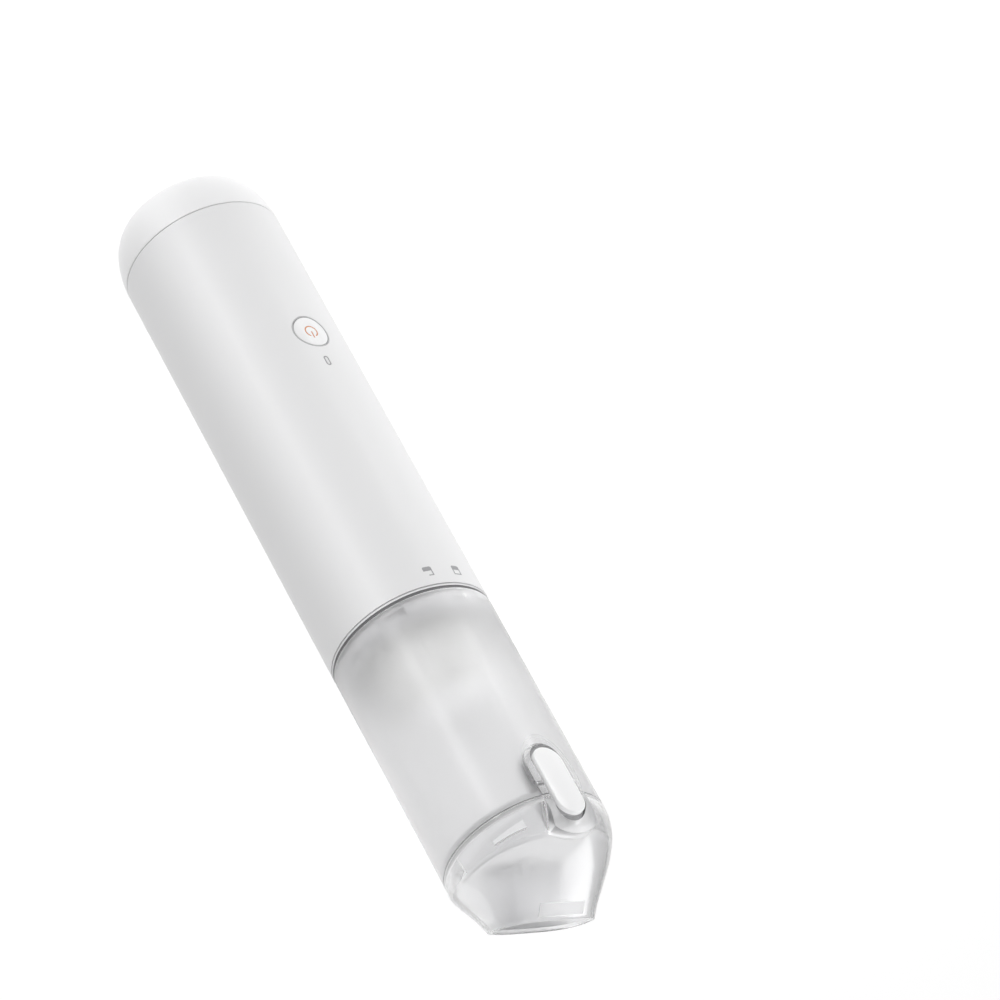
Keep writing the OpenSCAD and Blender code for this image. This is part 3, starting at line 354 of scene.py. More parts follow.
def eased(corners):
    """A closed outline through corners (x, z, radius), each corner rounded by its radius."""
    steps = 4
    line = []
    for i, (x, z, r) in enumerate(corners):
        here = Vector((x, z))
        if r == 0:
            line.append(here)
            continue
        before = (Vector(corners[i - 1][:2]) - here).normalized() * r
        after = (Vector(corners[(i + 1) % len(corners)][:2]) - here).normalized() * r
        for k in range(steps + 1):
            t = k / steps
            line.append(here + before * (1 - t) ** 2 + after * t**2)
    return line


def stadium(w, low, high, steps=16, round_low=True, round_high=True):
    """An upright slot outline about X = 0, with round or straight ends."""
    line = []
    for rounded, z, first in ((round_low, low + w / 2, 180), (round_high, high - w / 2, 0)):
        if rounded:
            turns = [math.radians(first + 180 * k / steps) for k in range(steps + 1)]
            line += [(w / 2 * math.cos(t), z + w / 2 * math.sin(t)) for t in turns]
        elif first:
            line += [(-w / 2, low), (w / 2, low)]
        else:
            line += [(w / 2, high), (-w / 2, high)]
    return line


def plate(outline, y0, y1, far_outline=None):
    """A plate whose outline is drawn on X and Z, between two values of Y; a second outline tapers it."""
    bm = bmesh.new()
    face = bm.faces.new([bm.verts.new((x, y0, z)) for x, z in outline])
    made = bmesh.ops.extrude_face_region(bm, geom=[face])
    for v in made["geom"]:
        if isinstance(v, bmesh.types.BMVert):
            near = min(range(len(outline)), key=lambda k: math.dist(outline[k], (v.co.x, v.co.z)))
            x, z = (far_outline or outline)[near]
            v.co = (x, y1, z)
    bmesh.ops.recalc_face_normals(bm, faces=bm.faces)
    return bm


def add(bm, other, matrix=Matrix.Identity(4)):
    """Adds another shape to this one, moved by the matrix."""
    bmesh.ops.transform(other, matrix=matrix, verts=other.verts)
    mesh = bpy.data.meshes.new("part")
    other.to_mesh(mesh)
    other.free()
    bm.from_mesh(mesh)
    bpy.data.meshes.remove(mesh)


def round_shading(piece):
    """Shades the turned faces of a carved tube as true cylinders."""
    mesh = piece.data
    normals = []
    for loop in mesh.loops:
        normals.append(mesh.corner_normals[loop.index].vector.copy())
    for face in mesh.polygons:
        for i in face.loop_indices:
            spot = mesh.vertices[mesh.loops[i].vertex_index].co
            out = Vector((spot.x, spot.y, 0)).normalized()
            facing = face.normal.dot(out)
            if abs(facing) > round_enough:
                normals[i] = out * math.copysign(1, facing)
    mesh.normals_split_custom_set(normals)


outline = eased([
    (bore, seam, 0), (radius, seam, edge), (radius, gap_low, gap_edge),
    (gap_floor, gap_low, 0), (gap_floor, body_top, 0), (bore, body_top, 0),
    (bore, ledge_top, 0), (ledge_r, ledge_top, edge), (ledge_r, ledge_low, edge), (bore, ledge_low, 0),
])
tube = new_piece("body_shell", turned(outline), white_body)
openings = plate(stadium(2 * hole_r, button_z - hole_r, button_z + hole_r), -radius - edge, -bore / 2)
light_slot = stadium(light_w + 2 * fit, light_z - light_len / 2 - fit, light_z + light_len / 2 + fit)
add(openings, plate(light_slot, -radius - edge, -bore / 2))
upright = stadium(vent_h, -vent_w / 2, vent_w / 2, steps=8)
for row in range(vent_rows):
    z = vent_z + (row - (vent_rows - 1) / 2) * vent_pitch
    for angle in vent_angles:
        vent = plate([(across, z + up) for up, across in upright], bore - vent_h, radius + edge)
        add(openings, vent, Matrix.Rotation(math.radians(angle), 4, "Z"))
carve(tube, [openings])
round_shading(tube)
place_piece(tube, "body", "white_shell", "body_tube")

# Lock signs: two small padlocks printed on the body beside the cup's seam.
# The shackle of one is closed and that of the other open, for the two ends of the cup's turn.
sign_ink = moulded("sign_ink", (0.33, 0.33, 0.34), 0.5)
sign_half = 1.8 * mm
sign_body_h = 1.9 * mm
sign_h = 4.2 * mm
sign_line = 0.42 * mm
sign_inside = sign_half - sign_line
sign_z = 207.9 * mm
sign_top = sign_z + sign_h
closed_angle = -11.2
open_angle = 11.8
open_reach = 0.15 * sign_half
ink_t = 0.04 * mm
ink_deep = 1.5 * ink_t


def sign_bar(bm, angle, s0, s1, z0, z1, corner=0):
    """A bar of ink on the tube: s runs round it from the sign's middle, and z along it.
    corner cuts two corners off."""
    made = bmesh.ops.create_grid(bm, x_segments=8, y_segments=1, size=0.5)
    for v in made["verts"]:
        at_end = abs(v.co.x) > 0.45
        s = s0 + (s1 - s0) * (v.co.x + 0.5)
        z = z0 + (z1 - z0) * (v.co.y + 0.5)
        if v.co.y < 0 and at_end:
            z += corner
        a = math.radians(angle) + s / radius
        v.co = ((radius + ink_t) * math.sin(a), -(radius + ink_t) * math.cos(a), z)


left_leg = (-sign_half, -sign_inside, False)
right_leg = (sign_inside, sign_half, False)
for name, angle, shackle in (
    ("lock_sign_closed", closed_angle, [left_leg, right_leg, (-sign_half, sign_half, True)]),
    ("lock_sign_open", open_angle, [left_leg, (-sign_half, open_reach, True)]),
):
    sign = bmesh.new()
    sign_bar(sign, angle, -sign_half, sign_half, sign_z, sign_z + sign_body_h, sign_line)
    for s0, s1, across in shackle:
        low = sign_top - sign_line if across else sign_z + sign_body_h
        high = sign_top if across else sign_top - sign_line
        sign_bar(sign, angle, s0, s1, low, high)
    bmesh.ops.recalc_face_normals(sign, faces=sign.faces)
    bmesh.ops.solidify(sign, geom=sign.faces[:], thickness=ink_deep)
    place_piece(new_piece(name, sign, sign_ink), "body", "grey_plastic")

# Power button: a white cap flush with the tube in a thin grey ring, with an orange light guide in it.
# It presses a small switch on its own board; the status light's window sits beside it.
grey_plastic = moulded("grey_plastic", (0.47, 0.47, 0.48), 0.5)
pale_window = moulded("status_window", (0.36, 0.36, 0.37), 0.25)
light_pale = moulded("status_light_core", (0.72, 0.72, 0.73), 0.25)
orange_guide = moulded("orange_light_guide", (0.62, 0.26, 0.11), 0.3)
button_edge = 0.25 * mm
core_w = 1.1 * mm
core_t = 1 * mm


def softened(name, node, finish, width):
    """A copy of a solid with its hard edges rounded."""
    bm = bmesh.new()
    bm.from_mesh(frame["nodes"][node].data)
    bmesh.ops.remove_doubles(bm, verts=bm.verts, dist=cut_weld)
    piece = new_piece(name, bm, finish)
    ease = piece.modifiers.new("ease", "BEVEL")
    ease.width = width
    ease.segments = 2
    ease.limit_method = "ANGLE"
    ease.angle_limit = math.radians(40)
    ease.use_clamp_overlap = True
    return piece


def dress(finish, *names):
    """Gives solids that stay as they are their finish."""
    for name in names:
        mesh = frame["nodes"][name].data
        mesh.materials.clear()
        mesh.materials.append(finish)


core = stadium(core_w, light_z - light_len / 2 + core_w / 2, light_z + light_len / 2 - core_w / 2)
core_shape = plate(core, light_low.y - ink_t, light_low.y + core_t)
light_core = new_piece("status_light_core", core_shape, light_pale)
place_piece(light_core, "body", "grey_plastic")
cap = softened("power_button_cap", "power_button", white_cap, button_edge)
place_piece(cap, "button", "white_cap", "power_button")
dress(grey_plastic, "button_bezel")
dress(pale_window, "status_light")
dress(orange_guide, "power_symbol", "status_led")
dress(white_cap, "switch_plunger")

# Inside the body: the frame, the battery in its two holders, and the boards with their leads.
# None of it shows while the vacuum is closed.
black_plastic = moulded("black_plastic", (0.03, 0.03, 0.03), 0.45)
board_mask = moulded("board_solder_mask", (0.03, 0.16, 0.07), 0.35, grain=0.8, depth=0.02)
cell_sleeve = moulded("cell_sleeve", (0.09, 0.2, 0.4), 0.3)
lead_jacket = moulded("lead_jacket", (0.45, 0.05, 0.04), 0.5)


def metal(name, colour, roughness):
    """Bright metal: fine lines along Z from drawing or turning, with a drifting sheen."""
    grain = 0.2 * mm
    stretch = 14
    finish = bpy.data.materials.new(name)
    finish.use_nodes = True
    nodes = finish.node_tree.nodes
    links = finish.node_tree.links
    coat = nodes["Principled BSDF"]
    coat.inputs["Base Color"].default_value = (*colour, 1)
    coat.inputs["Metallic"].default_value = 1
    place = nodes.new("ShaderNodeTexCoord")
    along = nodes.new("ShaderNodeMapping")
    along.inputs["Scale"].default_value = (1, 1, 1 / stretch)
    lines = nodes.new("ShaderNodeTexNoise")
    lines.inputs["Scale"].default_value = 1 / grain
    sheen = nodes.new("ShaderNodeMapRange")
    sheen.inputs["To Min"].default_value = roughness - 0.08
    sheen.inputs["To Max"].default_value = roughness + 0.08
    links.new(place.outputs["Object"], along.inputs["Vector"])
    links.new(along.outputs["Vector"], lines.inputs["Vector"])
    links.new(lines.outputs["Fac"], sheen.inputs["Value"])
    links.new(sheen.outputs["Result"], coat.inputs["Roughness"])
    return finish


bright_steel = metal("bright_steel", (0.62, 0.62, 0.63), 0.25)
core_steel = metal("core_steel", (0.2, 0.2, 0.21), 0.5)
copper = metal("enamelled_copper", (0.6, 0.28, 0.12), 0.35)
dress(grey_plastic, "inner_frame", "rear_cell_holder", "front_cell_holder")
dress(cell_sleeve, "battery_cells")
dress(bright_steel, "cell_tabs", "tail_screws", "usb_socket")
dress(board_mask, "control_board", "button_board", "usb_board")
dress(black_plastic, "board_components", "tact_switch")
dress(lead_jacket, "battery_leads", "motor_leads")

# Motor and fan: a small motor in a rubber bush drives the fan under its shroud.
# The air leaves through the foam behind the exhaust slots.
dark_rubber = moulded("dark_rubber", (0.1, 0.1, 0.105), 0.6, grain=0.6, depth=0.03)
pale_plastic = moulded("pale_plastic", (0.74, 0.74, 0.75), 0.45)
foam = moulded("exhaust_foam", (0.16, 0.16, 0.165), 0.9, grain=0.9, depth=0.5, drift=0.3)
dress(bright_steel, "motor_can", "motor_end_bell", "motor_bearings", "motor_shaft", "shroud_screws")
dress(core_steel, "stator_core", "rotor_magnet")
dress(copper, "stator_coils")
dress(pale_plastic, "impeller")
dress(grey_plastic, "diffuser", "fan_shroud")
dress(dark_rubber, "motor_bush")
dress(foam, "exhaust_filter")

# Collar and filter: the bayonet neck that the cup turns on, with a dark rubber gasket round it.
# The filter is a cone of folded white paper between a base and an end cap.
gasket_rubber = moulded("gasket_rubber", (0.13, 0.13, 0.135), 0.45, grain=0.6, depth=0.02)
soft_white = moulded("soft_white_rubber", (0.78, 0.78, 0.78), 0.55)
bright_white = moulded("bright_white_plastic", (0.97, 0.97, 0.97), 0.4, drift=0.01)
filter_paper = moulded("filter_paper", (0.95, 0.95, 0.94), 0.9, grain=0.5, depth=0.06, drift=0.06)
collar_plastic = moulded("collar_plastic", (0.8, 0.8, 0.805), 0.45)
neck_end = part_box("cup_collar")[1].z
neck_shade_reach = 7 * mm


def darken(finish, colour, along, start, end):
    """Paints shade: darkens a finish towards another colour along a direction, as painted shade at a neck,
    a rim or a mouth.
    """
    nodes = finish.node_tree.nodes
    links = finish.node_tree.links
    coat = nodes["Principled BSDF"]
    place = nodes.new("ShaderNodeTexCoord")
    reach = nodes.new("ShaderNodeVectorMath")
    reach.operation = "DOT_PRODUCT"
    reach.inputs[1].default_value = along
    share = nodes.new("ShaderNodeMapRange")
    share.inputs["From Min"].default_value = start
    share.inputs["From Max"].default_value = end
    painted_shade = nodes.new("ShaderNodeMix")
    painted_shade.data_type = "RGBA"
    painted_shade.inputs["B"].default_value = (*colour, 1)
    links.new(place.outputs["Object"], reach.inputs[0])
    links.new(reach.outputs["Value"], share.inputs["Value"])
    links.new(share.outputs["Result"], painted_shade.inputs["Factor"])
    own_colour = coat.inputs["Base Color"]
    if own_colour.links:
        links.new(own_colour.links[0].from_socket, painted_shade.inputs["A"])
    else:
        painted_shade.inputs["A"].default_value = own_colour.default_value
    links.new(painted_shade.outputs["Result"], own_colour)


# Painted shade: the collar darkens over its last few millimetres towards the end of its neck.
darken(collar_plastic, (0.46, 0.46, 0.465), (0, 0, 1), neck_end - neck_shade_reach, neck_end)
dress(collar_plastic, "cup_collar")
dress(gasket_rubber, "cup_gasket")
dress(soft_white, "filter_seal")
dress(filter_paper, "filter_pleats")
dress(bright_white, "filter_base", "filter_cap")

# Dust cup: one frosted clear moulding with two hinge knuckles at the back; a white bead marks its turn.
# Three lugs inside its rim turn in the neck's grooves. Round the latch's recess it is clearer,
# and the recess walls are tinted dark as painted shade.
cup_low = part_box("dust_cup")[0].z
hinge_low, hinge_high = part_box("hinge_pin")
hinge_y = (hinge_low.y + hinge_high.y) / 2
lid_seam = (hinge_low.z + hinge_high.z) / 2
half_seam = 0.15 * mm
cup_top = lid_seam - half_seam
cup_bore = radius - 2 * mm
cup_shade_start = cup_low + 15 * mm
latch_low, latch_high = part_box("latch_face")
latch_w = latch_high.x - latch_low.x
slot_w = latch_w + 1.2 * mm
slot_end = 1.3 * mm
slot_low = latch_low.z - slot_end
slot_flare = 0.35 * mm
flare_out = -radius - 0.3 * mm
flare_in = -radius + 1.5 * mm
recess_middle = (0, -radius, slot_low + 12 * mm)
recess_halves = (11 * mm, 14 * mm, 17 * mm)
pocket_wall = 1.5 * mm
pocket_front = -(radius - 1.5 * mm)
pocket_y = -(radius - 7 * mm)
lid_knuckle = 3.2 * mm
knuckle_gap = 0.3 * mm
knuckle_r = (hinge_high.z - hinge_low.z) / 2 + 0.9 * mm
knuckle_in = lid_knuckle + knuckle_gap
knuckle_out = hinge_high.x
hinge_room_r = knuckle_r + knuckle_gap
lid_room = knuckle_in + 0.02 * mm
web_y = math.sqrt(radius**2 - knuckle_out**2) - 0.7 * mm
gusset_low = lid_seam - 8 * mm
gusset_slant = 0.7 * knuckle_r
lug_low = cup_low + 2 * mm
lug_high = lug_low + 3 * mm
lug_in = cup_bore - 1.75 * mm
lug_angle = 12
lug_angles = (75, 195, 315)
past = 1 * mm
bead_r = 1 * mm
bead_proud = 0.4 * mm
bead_angle = -6.5
bead_z = 222.3 * mm


def clear(name, tint, roughness, cloud, scale, ior=1.46, coating=0.4, gloss=0.08, polished=None):
    """Clear plastic: light passes and blurs, with a frost that drifts over the moulding.
    polished is the middle and the half sizes of a place where the frost is thinner."""
    finish = bpy.data.materials.new(name)
    finish.use_nodes = True
    nodes = finish.node_tree.nodes
    links = finish.node_tree.links
    coat = nodes["Principled BSDF"]
    coat.inputs["Base Color"].default_value = (*tint, 1)
    coat.inputs["Transmission Weight"].default_value = 1
    coat.inputs["IOR"].default_value = ior
    coat.inputs["Coat Weight"].default_value = coating
    coat.inputs["Coat Roughness"].default_value = gloss
    place = nodes.new("ShaderNodeTexCoord")
    broad = nodes.new("ShaderNodeTexNoise")
    broad.inputs["Scale"].default_value = scale
    frost = nodes.new("ShaderNodeMapRange")
    frost.inputs["To Min"].default_value = roughness - cloud
    frost.inputs["To Max"].default_value = roughness + cloud
    links.new(place.outputs["Object"], broad.inputs["Vector"])
    links.new(broad.outputs["Fac"], frost.inputs["Value"])
    rough = frost.outputs["Result"]
    if polished:
        middle, halves = polished
        near = nodes.new("ShaderNodeMapping")
        near.inputs["Scale"].default_value = [1 / h for h in halves]
        near.inputs["Location"].default_value = [-m / h for m, h in zip(middle, halves)]
        far = nodes.new("ShaderNodeVectorMath")
        far.operation = "LENGTH"
        share = nodes.new("ShaderNodeMapRange")
        share.inputs["From Min"].default_value = 0.9
        share.inputs["From Max"].default_value = 1.2
        share.inputs["To Min"].default_value = 0.45
        times = nodes.new("ShaderNodeMath")
        times.operation = "MULTIPLY"
        links.new(place.outputs["Object"], near.inputs["Vector"])
        links.new(near.outputs["Vector"], far.inputs[0])
        links.new(far.outputs["Value"], share.inputs["Value"])
        links.new(rough, times.inputs[0])
        links.new(share.outputs["Result"], times.inputs[1])
        rough = times.outputs["Value"]
    links.new(rough, coat.inputs["Roughness"])
    return finish


def oblong(x0, x1, z0, z1):
    """The outline of a rectangle."""
    return [(x0, z0), (x1, z0), (x1, z1), (x0, z1)]


def bar_x(r, x0, x1, y, z):
    """A round bar along X."""
    bm = post(r, x1 - x0)
    lie = Matrix.Rotation(math.pi / 2, 4, "Y")
    bmesh.ops.transform(bm, matrix=Matrix.Translation(((x0 + x1) / 2, y, z)) @ lie, verts=bm.verts)
    return bm


def slab_x(outline, x0, x1):
    """A slab whose outline is drawn on Y and Z, between two values of X."""
    bm = plate([(-y, z) for y, z in outline], x0, x1)
    bmesh.ops.transform(bm, matrix=Matrix.Rotation(-math.pi / 2, 4, "Z"), verts=bm.verts)
    bmesh.ops.recalc_face_normals(bm, faces=bm.faces)
    return bm


frosted = clear(
    "frosted_cup_plastic", (0.86, 0.86, 0.865), 0.44, 0.06, 30,
    gloss=0.28, polished=(recess_middle, recess_halves),
)
# Painted shade: the cup's tint darkens from low on the cup towards its rim.
darken(frosted, (0.795, 0.795, 0.8), (0, 0, 1), cup_shade_start, cup_top)
# Painted shade: a dark clear tint on the walls of the latch's recess, in the cup and in the lid.
recess_shade_clear = clear("recess_shade_plastic", (0.2, 0.2, 0.205), 0.2, 0.04, 40, coating=0)
outline = eased([
    (cup_bore, cup_low, 0), (radius, cup_low, edge), (radius, cup_top, edge), (cup_bore, cup_top, 0),
])
cup = new_piece("cup_shell", turned(outline), frosted)
cup.data.materials.append(recess_shade_clear)
pocket = stadium(slot_w + 2 * pocket_wall, slot_low - pocket_wall, cup_top, round_high=False)
joins = [plate(pocket, pocket_front, pocket_y + pocket_wall)]
for angle in lug_angles:
    lug = oblong(lug_in, cup_bore + past, lug_low, lug_high)
    joins.append(turned(lug, steps=8, from_angle=angle - lug_angle / 2, angle=lug_angle))
gusset = [
    (web_y, cup_top), (hinge_y, cup_top), (hinge_y + gusset_slant, lid_seam - gusset_slant),
    (web_y, gusset_low),
]
for side in (-1, 1):
    x0, x1 = sorted((side * knuckle_in, side * knuckle_out))
    joins.append(slab_x(gusset, x0, x1))
    joins.append(bar_x(knuckle_r, x0, x1, hinge_y, lid_seam))
carve(cup, joins, "UNION")
carve(cup, [bar_x(hinge_room_r, -lid_room, lid_room, hinge_y, lid_seam)])
slot = stadium(slot_w, slot_low, cup_top + past, round_high=False)
wide = stadium(slot_w + 2 * slot_flare, slot_low - slot_flare, cup_top + past, round_high=False)
carve(cup, [plate(slot, -radius - past, pocket_y), plate(wide, flare_out, flare_in, slot)], finish=1)
round_shading(cup)
cup.visible_shadow = False
place_piece(cup, "cup", "clear_cup", "dust_cup")

bead = bmesh.new()
bmesh.ops.create_uvsphere(bead, u_segments=24, v_segments=12, radius=bead_r)
bmesh.ops.scale(bead, vec=(1, bead_proud / bead_r, 1), verts=bead.verts)
bmesh.ops.translate(bead, vec=(0, -radius, bead_z), verts=bead.verts)
bmesh.ops.rotate(bead, matrix=Matrix.Rotation(math.radians(bead_angle), 3, "Z"), verts=bead.verts)
place_piece(new_piece("cup_mark", bead, bright_white), "cup", "white_cap")

# Latch: a glossy white cap on a pale lever that rocks on a steel pin.
# Its hook holds the lid, and a small coil spring under its tail end lifts it.
gloss_white = moulded("gloss_white_plastic", (0.96, 0.96, 0.965), 0.16, depth=0.004, drift=0.01)
lever_grey = moulded("lever_plastic", (0.5, 0.5, 0.51), 0.4)
pin_steel = metal("pin_steel", (0.93, 0.93, 0.94), 0.4)
cap_round = 0.55 * mm
lever_edge = 0.2 * mm
spring_low, spring_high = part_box("latch_spring")
wire = 0.5 * mm
coil_turns = 3
coil_steps = 24 * coil_turns
coil_r = (spring_high.x - spring_low.x - wire) / 2
coil_run = spring_high.y - spring_low.y - wire
seat = Vector((0, spring_high.y, (spring_low.z + spring_high.z) / 2))

face = plate(stadium(latch_w, latch_low.z, latch_high.z, steps=24), latch_low.y, latch_high.y)
rim = [e for e in face.edges if all(abs(v.co.y - latch_low.y) < weld for v in e.verts)]
bmesh.ops.bevel(
    face, geom=rim, offset=cap_round, segments=4, profile=0.5,
    affect="EDGES", material=-1, clamp_overlap=True,
)
place_piece(new_piece("latch_cap", face, gloss_white), "latch", "white_latch", "latch_face")
lever = softened("latch_lever_arm", "latch_lever", lever_grey, lever_edge)
place_piece(lever, "latch", "pale_plastic", "latch_lever")
coil = bmesh.new()
bmesh.ops.create_circle(coil, segments=10, radius=wire / 2)
bmesh.ops.translate(coil, vec=(coil_r, 0, 0), verts=coil.verts)
bmesh.ops.spin(
    coil, geom=coil.edges[:], axis=(0, -1, 0), cent=(0, 0, 0), dvec=(0, -coil_run / coil_steps, 0),
    angle=math.tau * coil_turns, steps=coil_steps,
)
bmesh.ops.holes_fill(coil, edges=[e for e in coil.edges if e.is_boundary])
bmesh.ops.recalc_face_normals(coil, faces=coil.faces)
bmesh.ops.translate(coil, vec=seat - Vector((0, wire / 2, 0)), verts=coil.verts)
spring = new_piece("latch_spring_coil", coil, bright_steel)
place_piece(spring, "cup", "bright_steel", "latch_spring")
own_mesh(spring)
dress(pin_steel, "latch_pin", "hinge_pin")

# Nozzle lid: a clear moulding that runs from the cup's round rim to a flat oval mouth at the back.
# It swings on the hinge pin; a boss round the latch's nozzle end carries the catch for the hook.
lid_clear = clear("clear_lid_plastic", (0.93, 0.93, 0.935), 0.16, 0.03, 40, gloss=0.24)
lid_frost = clear("frosted_lid_plastic", (0.82, 0.82, 0.825), 0.55, 0.05, 40, coating=0)
lid_low = lid_seam + half_seam
lid_rim = 1.6 * mm
lid_wall = 1.8 * mm
lid_sides = 192
lid_steps = 28
width_bend = (1.75, 1.25)
depth_bend = (1.25, 1)
lean_bend = (1.4, 1.05)
lip = [(0.985, 0), (0.996, 0.12 * mm), (1, 0.45 * mm)]
mouth_half_w = 20.9 * mm
mouth_half_d = 12 * mm
mouth_tilt = math.radians(26)
mouth_z = lid_seam + 26.9 * mm
mouth_y = 12 * mm
insert_share = 0.28
boss_half = latch_w / 2 + 3.35 * mm
boss_len = 16 * mm
boss_straight = 3 * mm
boss_drop = 4.5 * mm
boss_skin = 0.05 * mm
boss_arc_steps = 24
lid_web_y = radius - lid_wall + 0.3 * mm
slot_high = latch_high.z + slot_end
panel_half = 10.2 * mm
panel_depth = 0.75 * mm
panel_from = 0.84
panel_to = 0.965
catch_half = 4.5 * mm
catch_low = lid_seam + 2.4 * mm
catch_high = catch_low + 2.2 * mm
catch_front = pocket_y - 3.2 * mm


def bend(t, p, q):
    """A share that grows from 0 to 1 in an S."""
    return t**p / (t**p + (1 - t) ** q)


def mix(a, b, share):
    """The value that lies that share of the way from a to b."""
    return a + (b - a) * share


def lid_point(across, over, t, inset):
    """A point of the lid: across and over are a circle's, t runs from the rim to the mouth."""
    spread = 2 / (2 + t)
    half_w = mix(radius, mouth_half_w, bend(t, *width_bend)) - inset
    half_d = mix(radius, mouth_half_d, bend(t, *depth_bend)) - inset
    x = half_w * math.copysign(abs(across) ** spread, across)
    y = half_d * math.copysign(abs(over) ** spread, over)
    middle = mouth_y * bend(t, *lean_bend)
    z = mix(lid_low + lid_rim, mouth_z, t)
    return Vector((x, middle + y * math.cos(mouth_tilt * t), z - y * math.sin(mouth_tilt * t)))


def lid_skin(rings, frost_inset=1, frost_from=0):
    """A closed skin through rings (t, inset, height); a height other than None sets the ring level.
    Faces at frost_inset or deeper, beyond frost_from, take the second finish."""
    bm = bmesh.new()
    place = bm.verts.layers.float_vector.new("place")
    ring = bmesh.ops.create_circle(bm, segments=lid_sides, radius=1)["verts"]
    line = bm.edges[:]
    for v in ring:
        v[place] = v.co
    for k, (t, inset, height) in enumerate(rings + rings[:1]):
        if k:
            made = bmesh.ops.extrude_edge_only(bm, edges=line)["geom"]
            ring = [g for g in made if isinstance(g, bmesh.types.BMVert)]
            line = [g for g in made if isinstance(g, bmesh.types.BMEdge)]
            last_t, last_inset, _ = rings[k - 1]
            frost = min(inset, last_inset) >= frost_inset and min(t, last_t) >= frost_from
            for face in (g for g in made if isinstance(g, bmesh.types.BMFace)):
                face.material_index = int(frost)
        for v in ring:
            v.co = lid_point(v[place].x, v[place].y, t, inset)
            if height is not None:
                v.co.z = height
    bmesh.ops.remove_doubles(bm, verts=bm.verts, dist=weld)
    bmesh.ops.recalc_face_normals(bm, faces=bm.faces)
    return bm


shares = [k / lid_steps for k in range(lid_steps)]
rings = [(0, edge, lid_low), (0, edge_middle, lid_low + edge_middle), (0, 0, lid_low + edge)]
rings += [(t, 0, None) for t in shares]
rings += [(t, inset, None) for t, inset in lip]
rings += [(t, lid_wall - inset, None) for t, inset in reversed(lip)]
rings += [(t, lid_wall, None) for t in reversed(shares)]
rings += [(0, lid_wall, lid_low)]
lid = new_piece("lid_shell", lid_skin(rings, lid_wall, insert_share - 1 / lid_steps), lid_clear)
lid.data.materials.append(lid_frost)
lid.data.materials.append(recess_shade_clear)

reach = math.degrees(math.asin(boss_half / boss_len))
arc = [math.radians(reach * (1 - 2 * k / boss_arc_steps)) for k in range(boss_arc_steps + 1)]
outline = [(-boss_half, lid_low), (boss_half, lid_low)]
outline += [(boss_len * math.sin(a), lid_seam + boss_len * math.cos(a)) for a in arc]
boss = new_piece("boss", plate(outline, -radius - past, pocket_y + pocket_wall), lid_clear)
slope = [
    (-radius - 2 * past, lid_low - past), (-radius + boss_skin, lid_low - past),
    (-radius + boss_skin, lid_seam + boss_straight), (-radius + boss_drop, lid_seam + boss_len),
    (-radius + boss_drop, lid_seam + boss_len + past), (-radius - 2 * past, lid_seam + boss_len + past),
]
carve(boss, [slab_x(slope, -2 * boss_half, 2 * boss_half)])
carve(boss, [turned(oblong(0, radius, lid_low - past, lid_low + 2 * boss_len))], "INTERSECT")
boss_shape = bmesh.new()
boss_shape.from_mesh(boss.data)
bpy.data.meshes.remove(boss.data)
web = oblong(lid_web_y, hinge_y, lid_low, lid_seam + knuckle_r)
joins = [boss_shape, bar_x(knuckle_r, -lid_knuckle, lid_knuckle, hinge_y, lid_seam)]
joins.append(slab_x(web, -lid_knuckle + fit, lid_knuckle - fit))
carve(lid, joins, "UNION", finish=1)
flared_w = slot_w + 2 * slot_flare
slot = stadium(slot_w, lid_seam - past, slot_high, steps=32, round_low=False)
wide = stadium(flared_w, lid_seam - past, slot_high + slot_flare, steps=32, round_low=False)
# The slot's walls take the recess's painted shade.
carve(lid, [plate(slot, -radius - past, pocket_y), plate(wide, flare_out, flare_in, slot)], finish=2)
cuts = []
for side in (-1, 1):
    x0, x1 = sorted((side * lid_knuckle, side * (knuckle_out + knuckle_gap)))
    cuts.append(bar_x(hinge_room_r, x0, x1, hinge_y, lid_seam))
panel_low = lid_point(0, -1, panel_from, 0)
panel_high = lid_point(0, -1, panel_to, 0)
along = (panel_high - panel_low).normalized()
out = Vector((0, -along.z, along.y))
panel = [p + out * d for p, d in (
    (panel_low, -panel_depth), (panel_low, past), (panel_high, past), (panel_high, -panel_depth),
)]
cuts.append(slab_x([(p.y, p.z) for p in panel], -panel_half, panel_half))
carve(lid, cuts, finish=1)
catch = oblong(-catch_half, catch_half, catch_low, catch_high)
carve(lid, [plate(catch, catch_front, pocket_y + pocket_wall / 2)], "UNION")
lid.visible_shadow = False
place_piece(lid, "lid", "clear_lid", "nozzle_lid")

# Lid insert: a clear ring clipped inside the lid's rim, with six shallow windows and a spigot into the cup.
# Its front is left open for the latch's boss, and a soft seal sits round the spigot.
# A white trim ring shows between it and the lid, and a thin dark-grey ring in the seam is painted shade for
# the seam's shadow line.
seam_shade_finish = moulded("seam_shade_grey", (0.25, 0.25, 0.255), 0.5)
insert_out = lid_wall + 0.2 * mm
insert_in = insert_out + 1.2 * mm
insert_r = radius - insert_in
insert_steps = 8
spigot_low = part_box("lid_insert")[0].z
spigot_top = lid_low + 1 * mm
seal_low, seal_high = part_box("lid_seal")
spigot_out = seal_high.x
spigot_in = insert_r - 0.4 * mm
seal_floor = spigot_out - 1 * mm
front_angle = -90
window_angles = (49, 106.5, 164, 196, 253.5, 311)
window_angle = 26
window_low = lid_seam + 1.6 * mm
window_high = window_low + 6.4 * mm
window_in = insert_r - 6 * mm
window_out = insert_r + 0.35 * mm
boss_room = boss_half + fit
pocket_gap = 0.3 * mm
pocket_room = slot_w / 2 + pocket_wall + pocket_gap
trim_gap = 0.03 * mm
trim_low = lid_low + 0.1 * mm
seam_shade_in = radius - 1.5 * mm
seam_shade_half = half_seam - 0.02 * mm

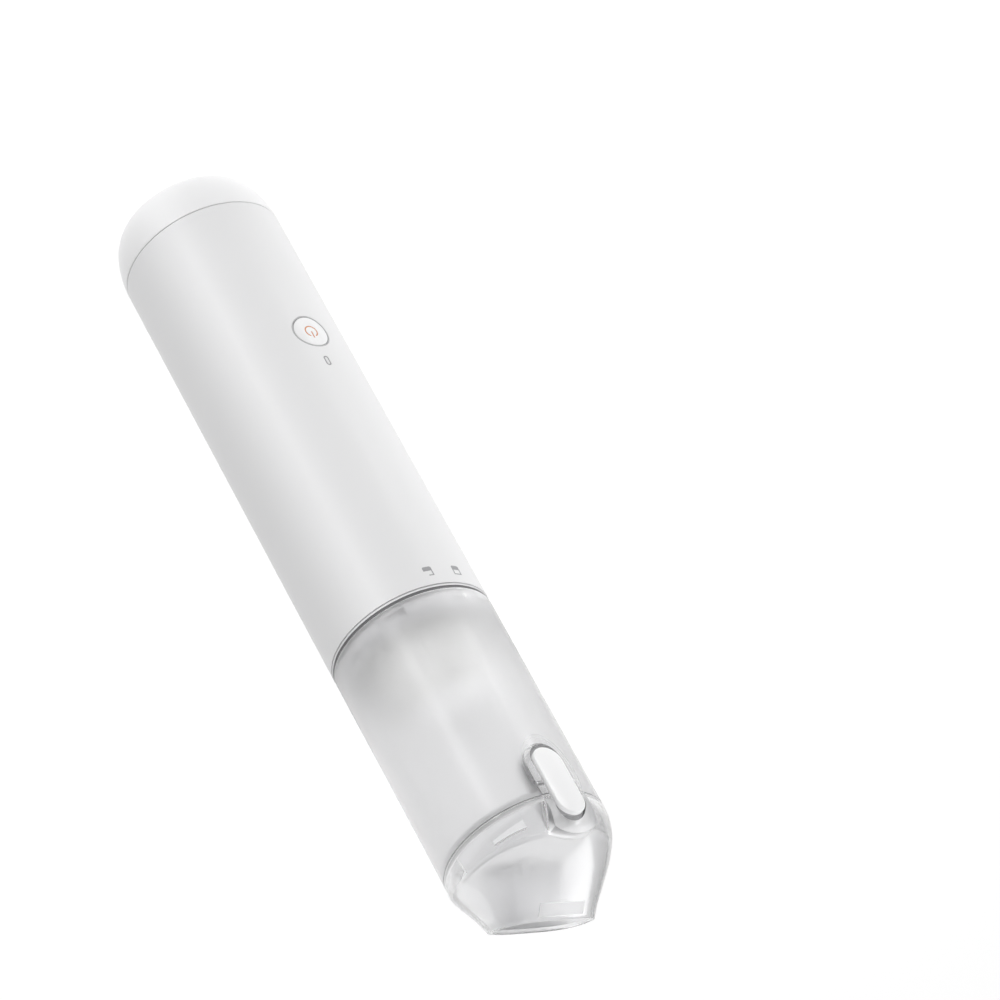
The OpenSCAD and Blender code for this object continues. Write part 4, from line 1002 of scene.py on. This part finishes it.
shares = [insert_share * k / insert_steps for k in range(insert_steps + 1)]
rings = [(t, insert_out, None) for t in shares]
rings += [(t, insert_in, None) for t in reversed(shares)]
for r, z in (
    (insert_r, spigot_top), (spigot_in, spigot_top), (spigot_in, spigot_low), (spigot_out, spigot_low),
    (spigot_out, seal_low.z), (seal_floor, seal_low.z), (seal_floor, seal_high.z),
    (spigot_out, seal_high.z), (spigot_out, lid_low), (radius - insert_out, lid_low),
):
    rings.append((0, radius - r, z))
insert = new_piece("lid_insert_ring", lid_skin(rings, insert_in), lid_clear)
insert.data.materials.append(lid_frost)
cuts = []
for angle in window_angles:
    window = oblong(window_in, window_out, window_low, window_high)
    start = front_angle + angle - window_angle / 2
    cuts.append(turned(window, steps=16, from_angle=start, angle=window_angle))
boss_front = oblong(-boss_room, boss_room, lid_low, lid_seam + boss_len)
pocket_side = oblong(-pocket_room, pocket_room, spigot_low - past, lid_low + past)
cuts.append(plate(boss_front, -radius, pocket_y + pocket_wall + fit))
cuts.append(plate(pocket_side, -radius, pocket_y + pocket_wall + pocket_gap))
carve(insert, cuts, finish=1)
insert.visible_shadow = False
place_piece(insert, "lid", "clear_lid", "lid_insert")
trim_section = oblong(trim_low, lid_low + lid_rim, lid_wall + trim_gap, insert_out - trim_gap)
trim = new_piece("lid_rim_trim", lid_skin([(0, inset, z) for z, inset in trim_section]), bright_white)
carve(trim, [plate(pocket_side, -radius, pocket_y)])
place_piece(trim, "lid", "pale_rubber")
# Painted shade: a thin dark-grey ring put in the seam between the cup and the lid.
rim_section = oblong(seam_shade_in, radius - fit, lid_seam - seam_shade_half, lid_seam + seam_shade_half)
seam_shade_ring = new_piece("lid_seam_shade", turned(rim_section), seam_shade_finish)
hinge_room = bar_x(hinge_room_r, -knuckle_out - past, knuckle_out + past, hinge_y, lid_seam)
carve(seam_shade_ring, [plate(pocket_side, -radius - past, pocket_y), hinge_room])
place_piece(seam_shade_ring, "lid", "pale_rubber")
dress(soft_white, "lid_seal")

# Intake: a thin clear duct behind the mouth, with painted shade greying it towards the back lip.
# A soft flap across its inner end keeps the dust in the cup.
duct_clear = clear("thin_duct_plastic", (0.965, 0.965, 0.97), 0.35, 0.05, 40, ior=1.12, coating=0)
flap_rubber = moulded("flap_rubber", (0.7, 0.7, 0.7), 0.5)
tilt_cos = math.cos(mouth_tilt)
tilt_sin = math.sin(mouth_tilt)
to_back_lip = Vector((0, tilt_cos + tilt_sin, tilt_cos - tilt_sin))
mouth_middle = to_back_lip.dot(Vector((0, mouth_y, mouth_z)))
mouth_shade_from = mouth_middle + 1 * mm
mouth_shade_to = mouth_middle + 7 * mm
# Painted shade: the duct greys towards the mouth's back lip.
darken(duct_clear, (0.5, 0.5, 0.505), to_back_lip, mouth_shade_from, mouth_shade_to)
dress(duct_clear, "intake_duct")
frame["nodes"]["intake_duct"].visible_shadow = False
dress(flap_rubber, "intake_flap")
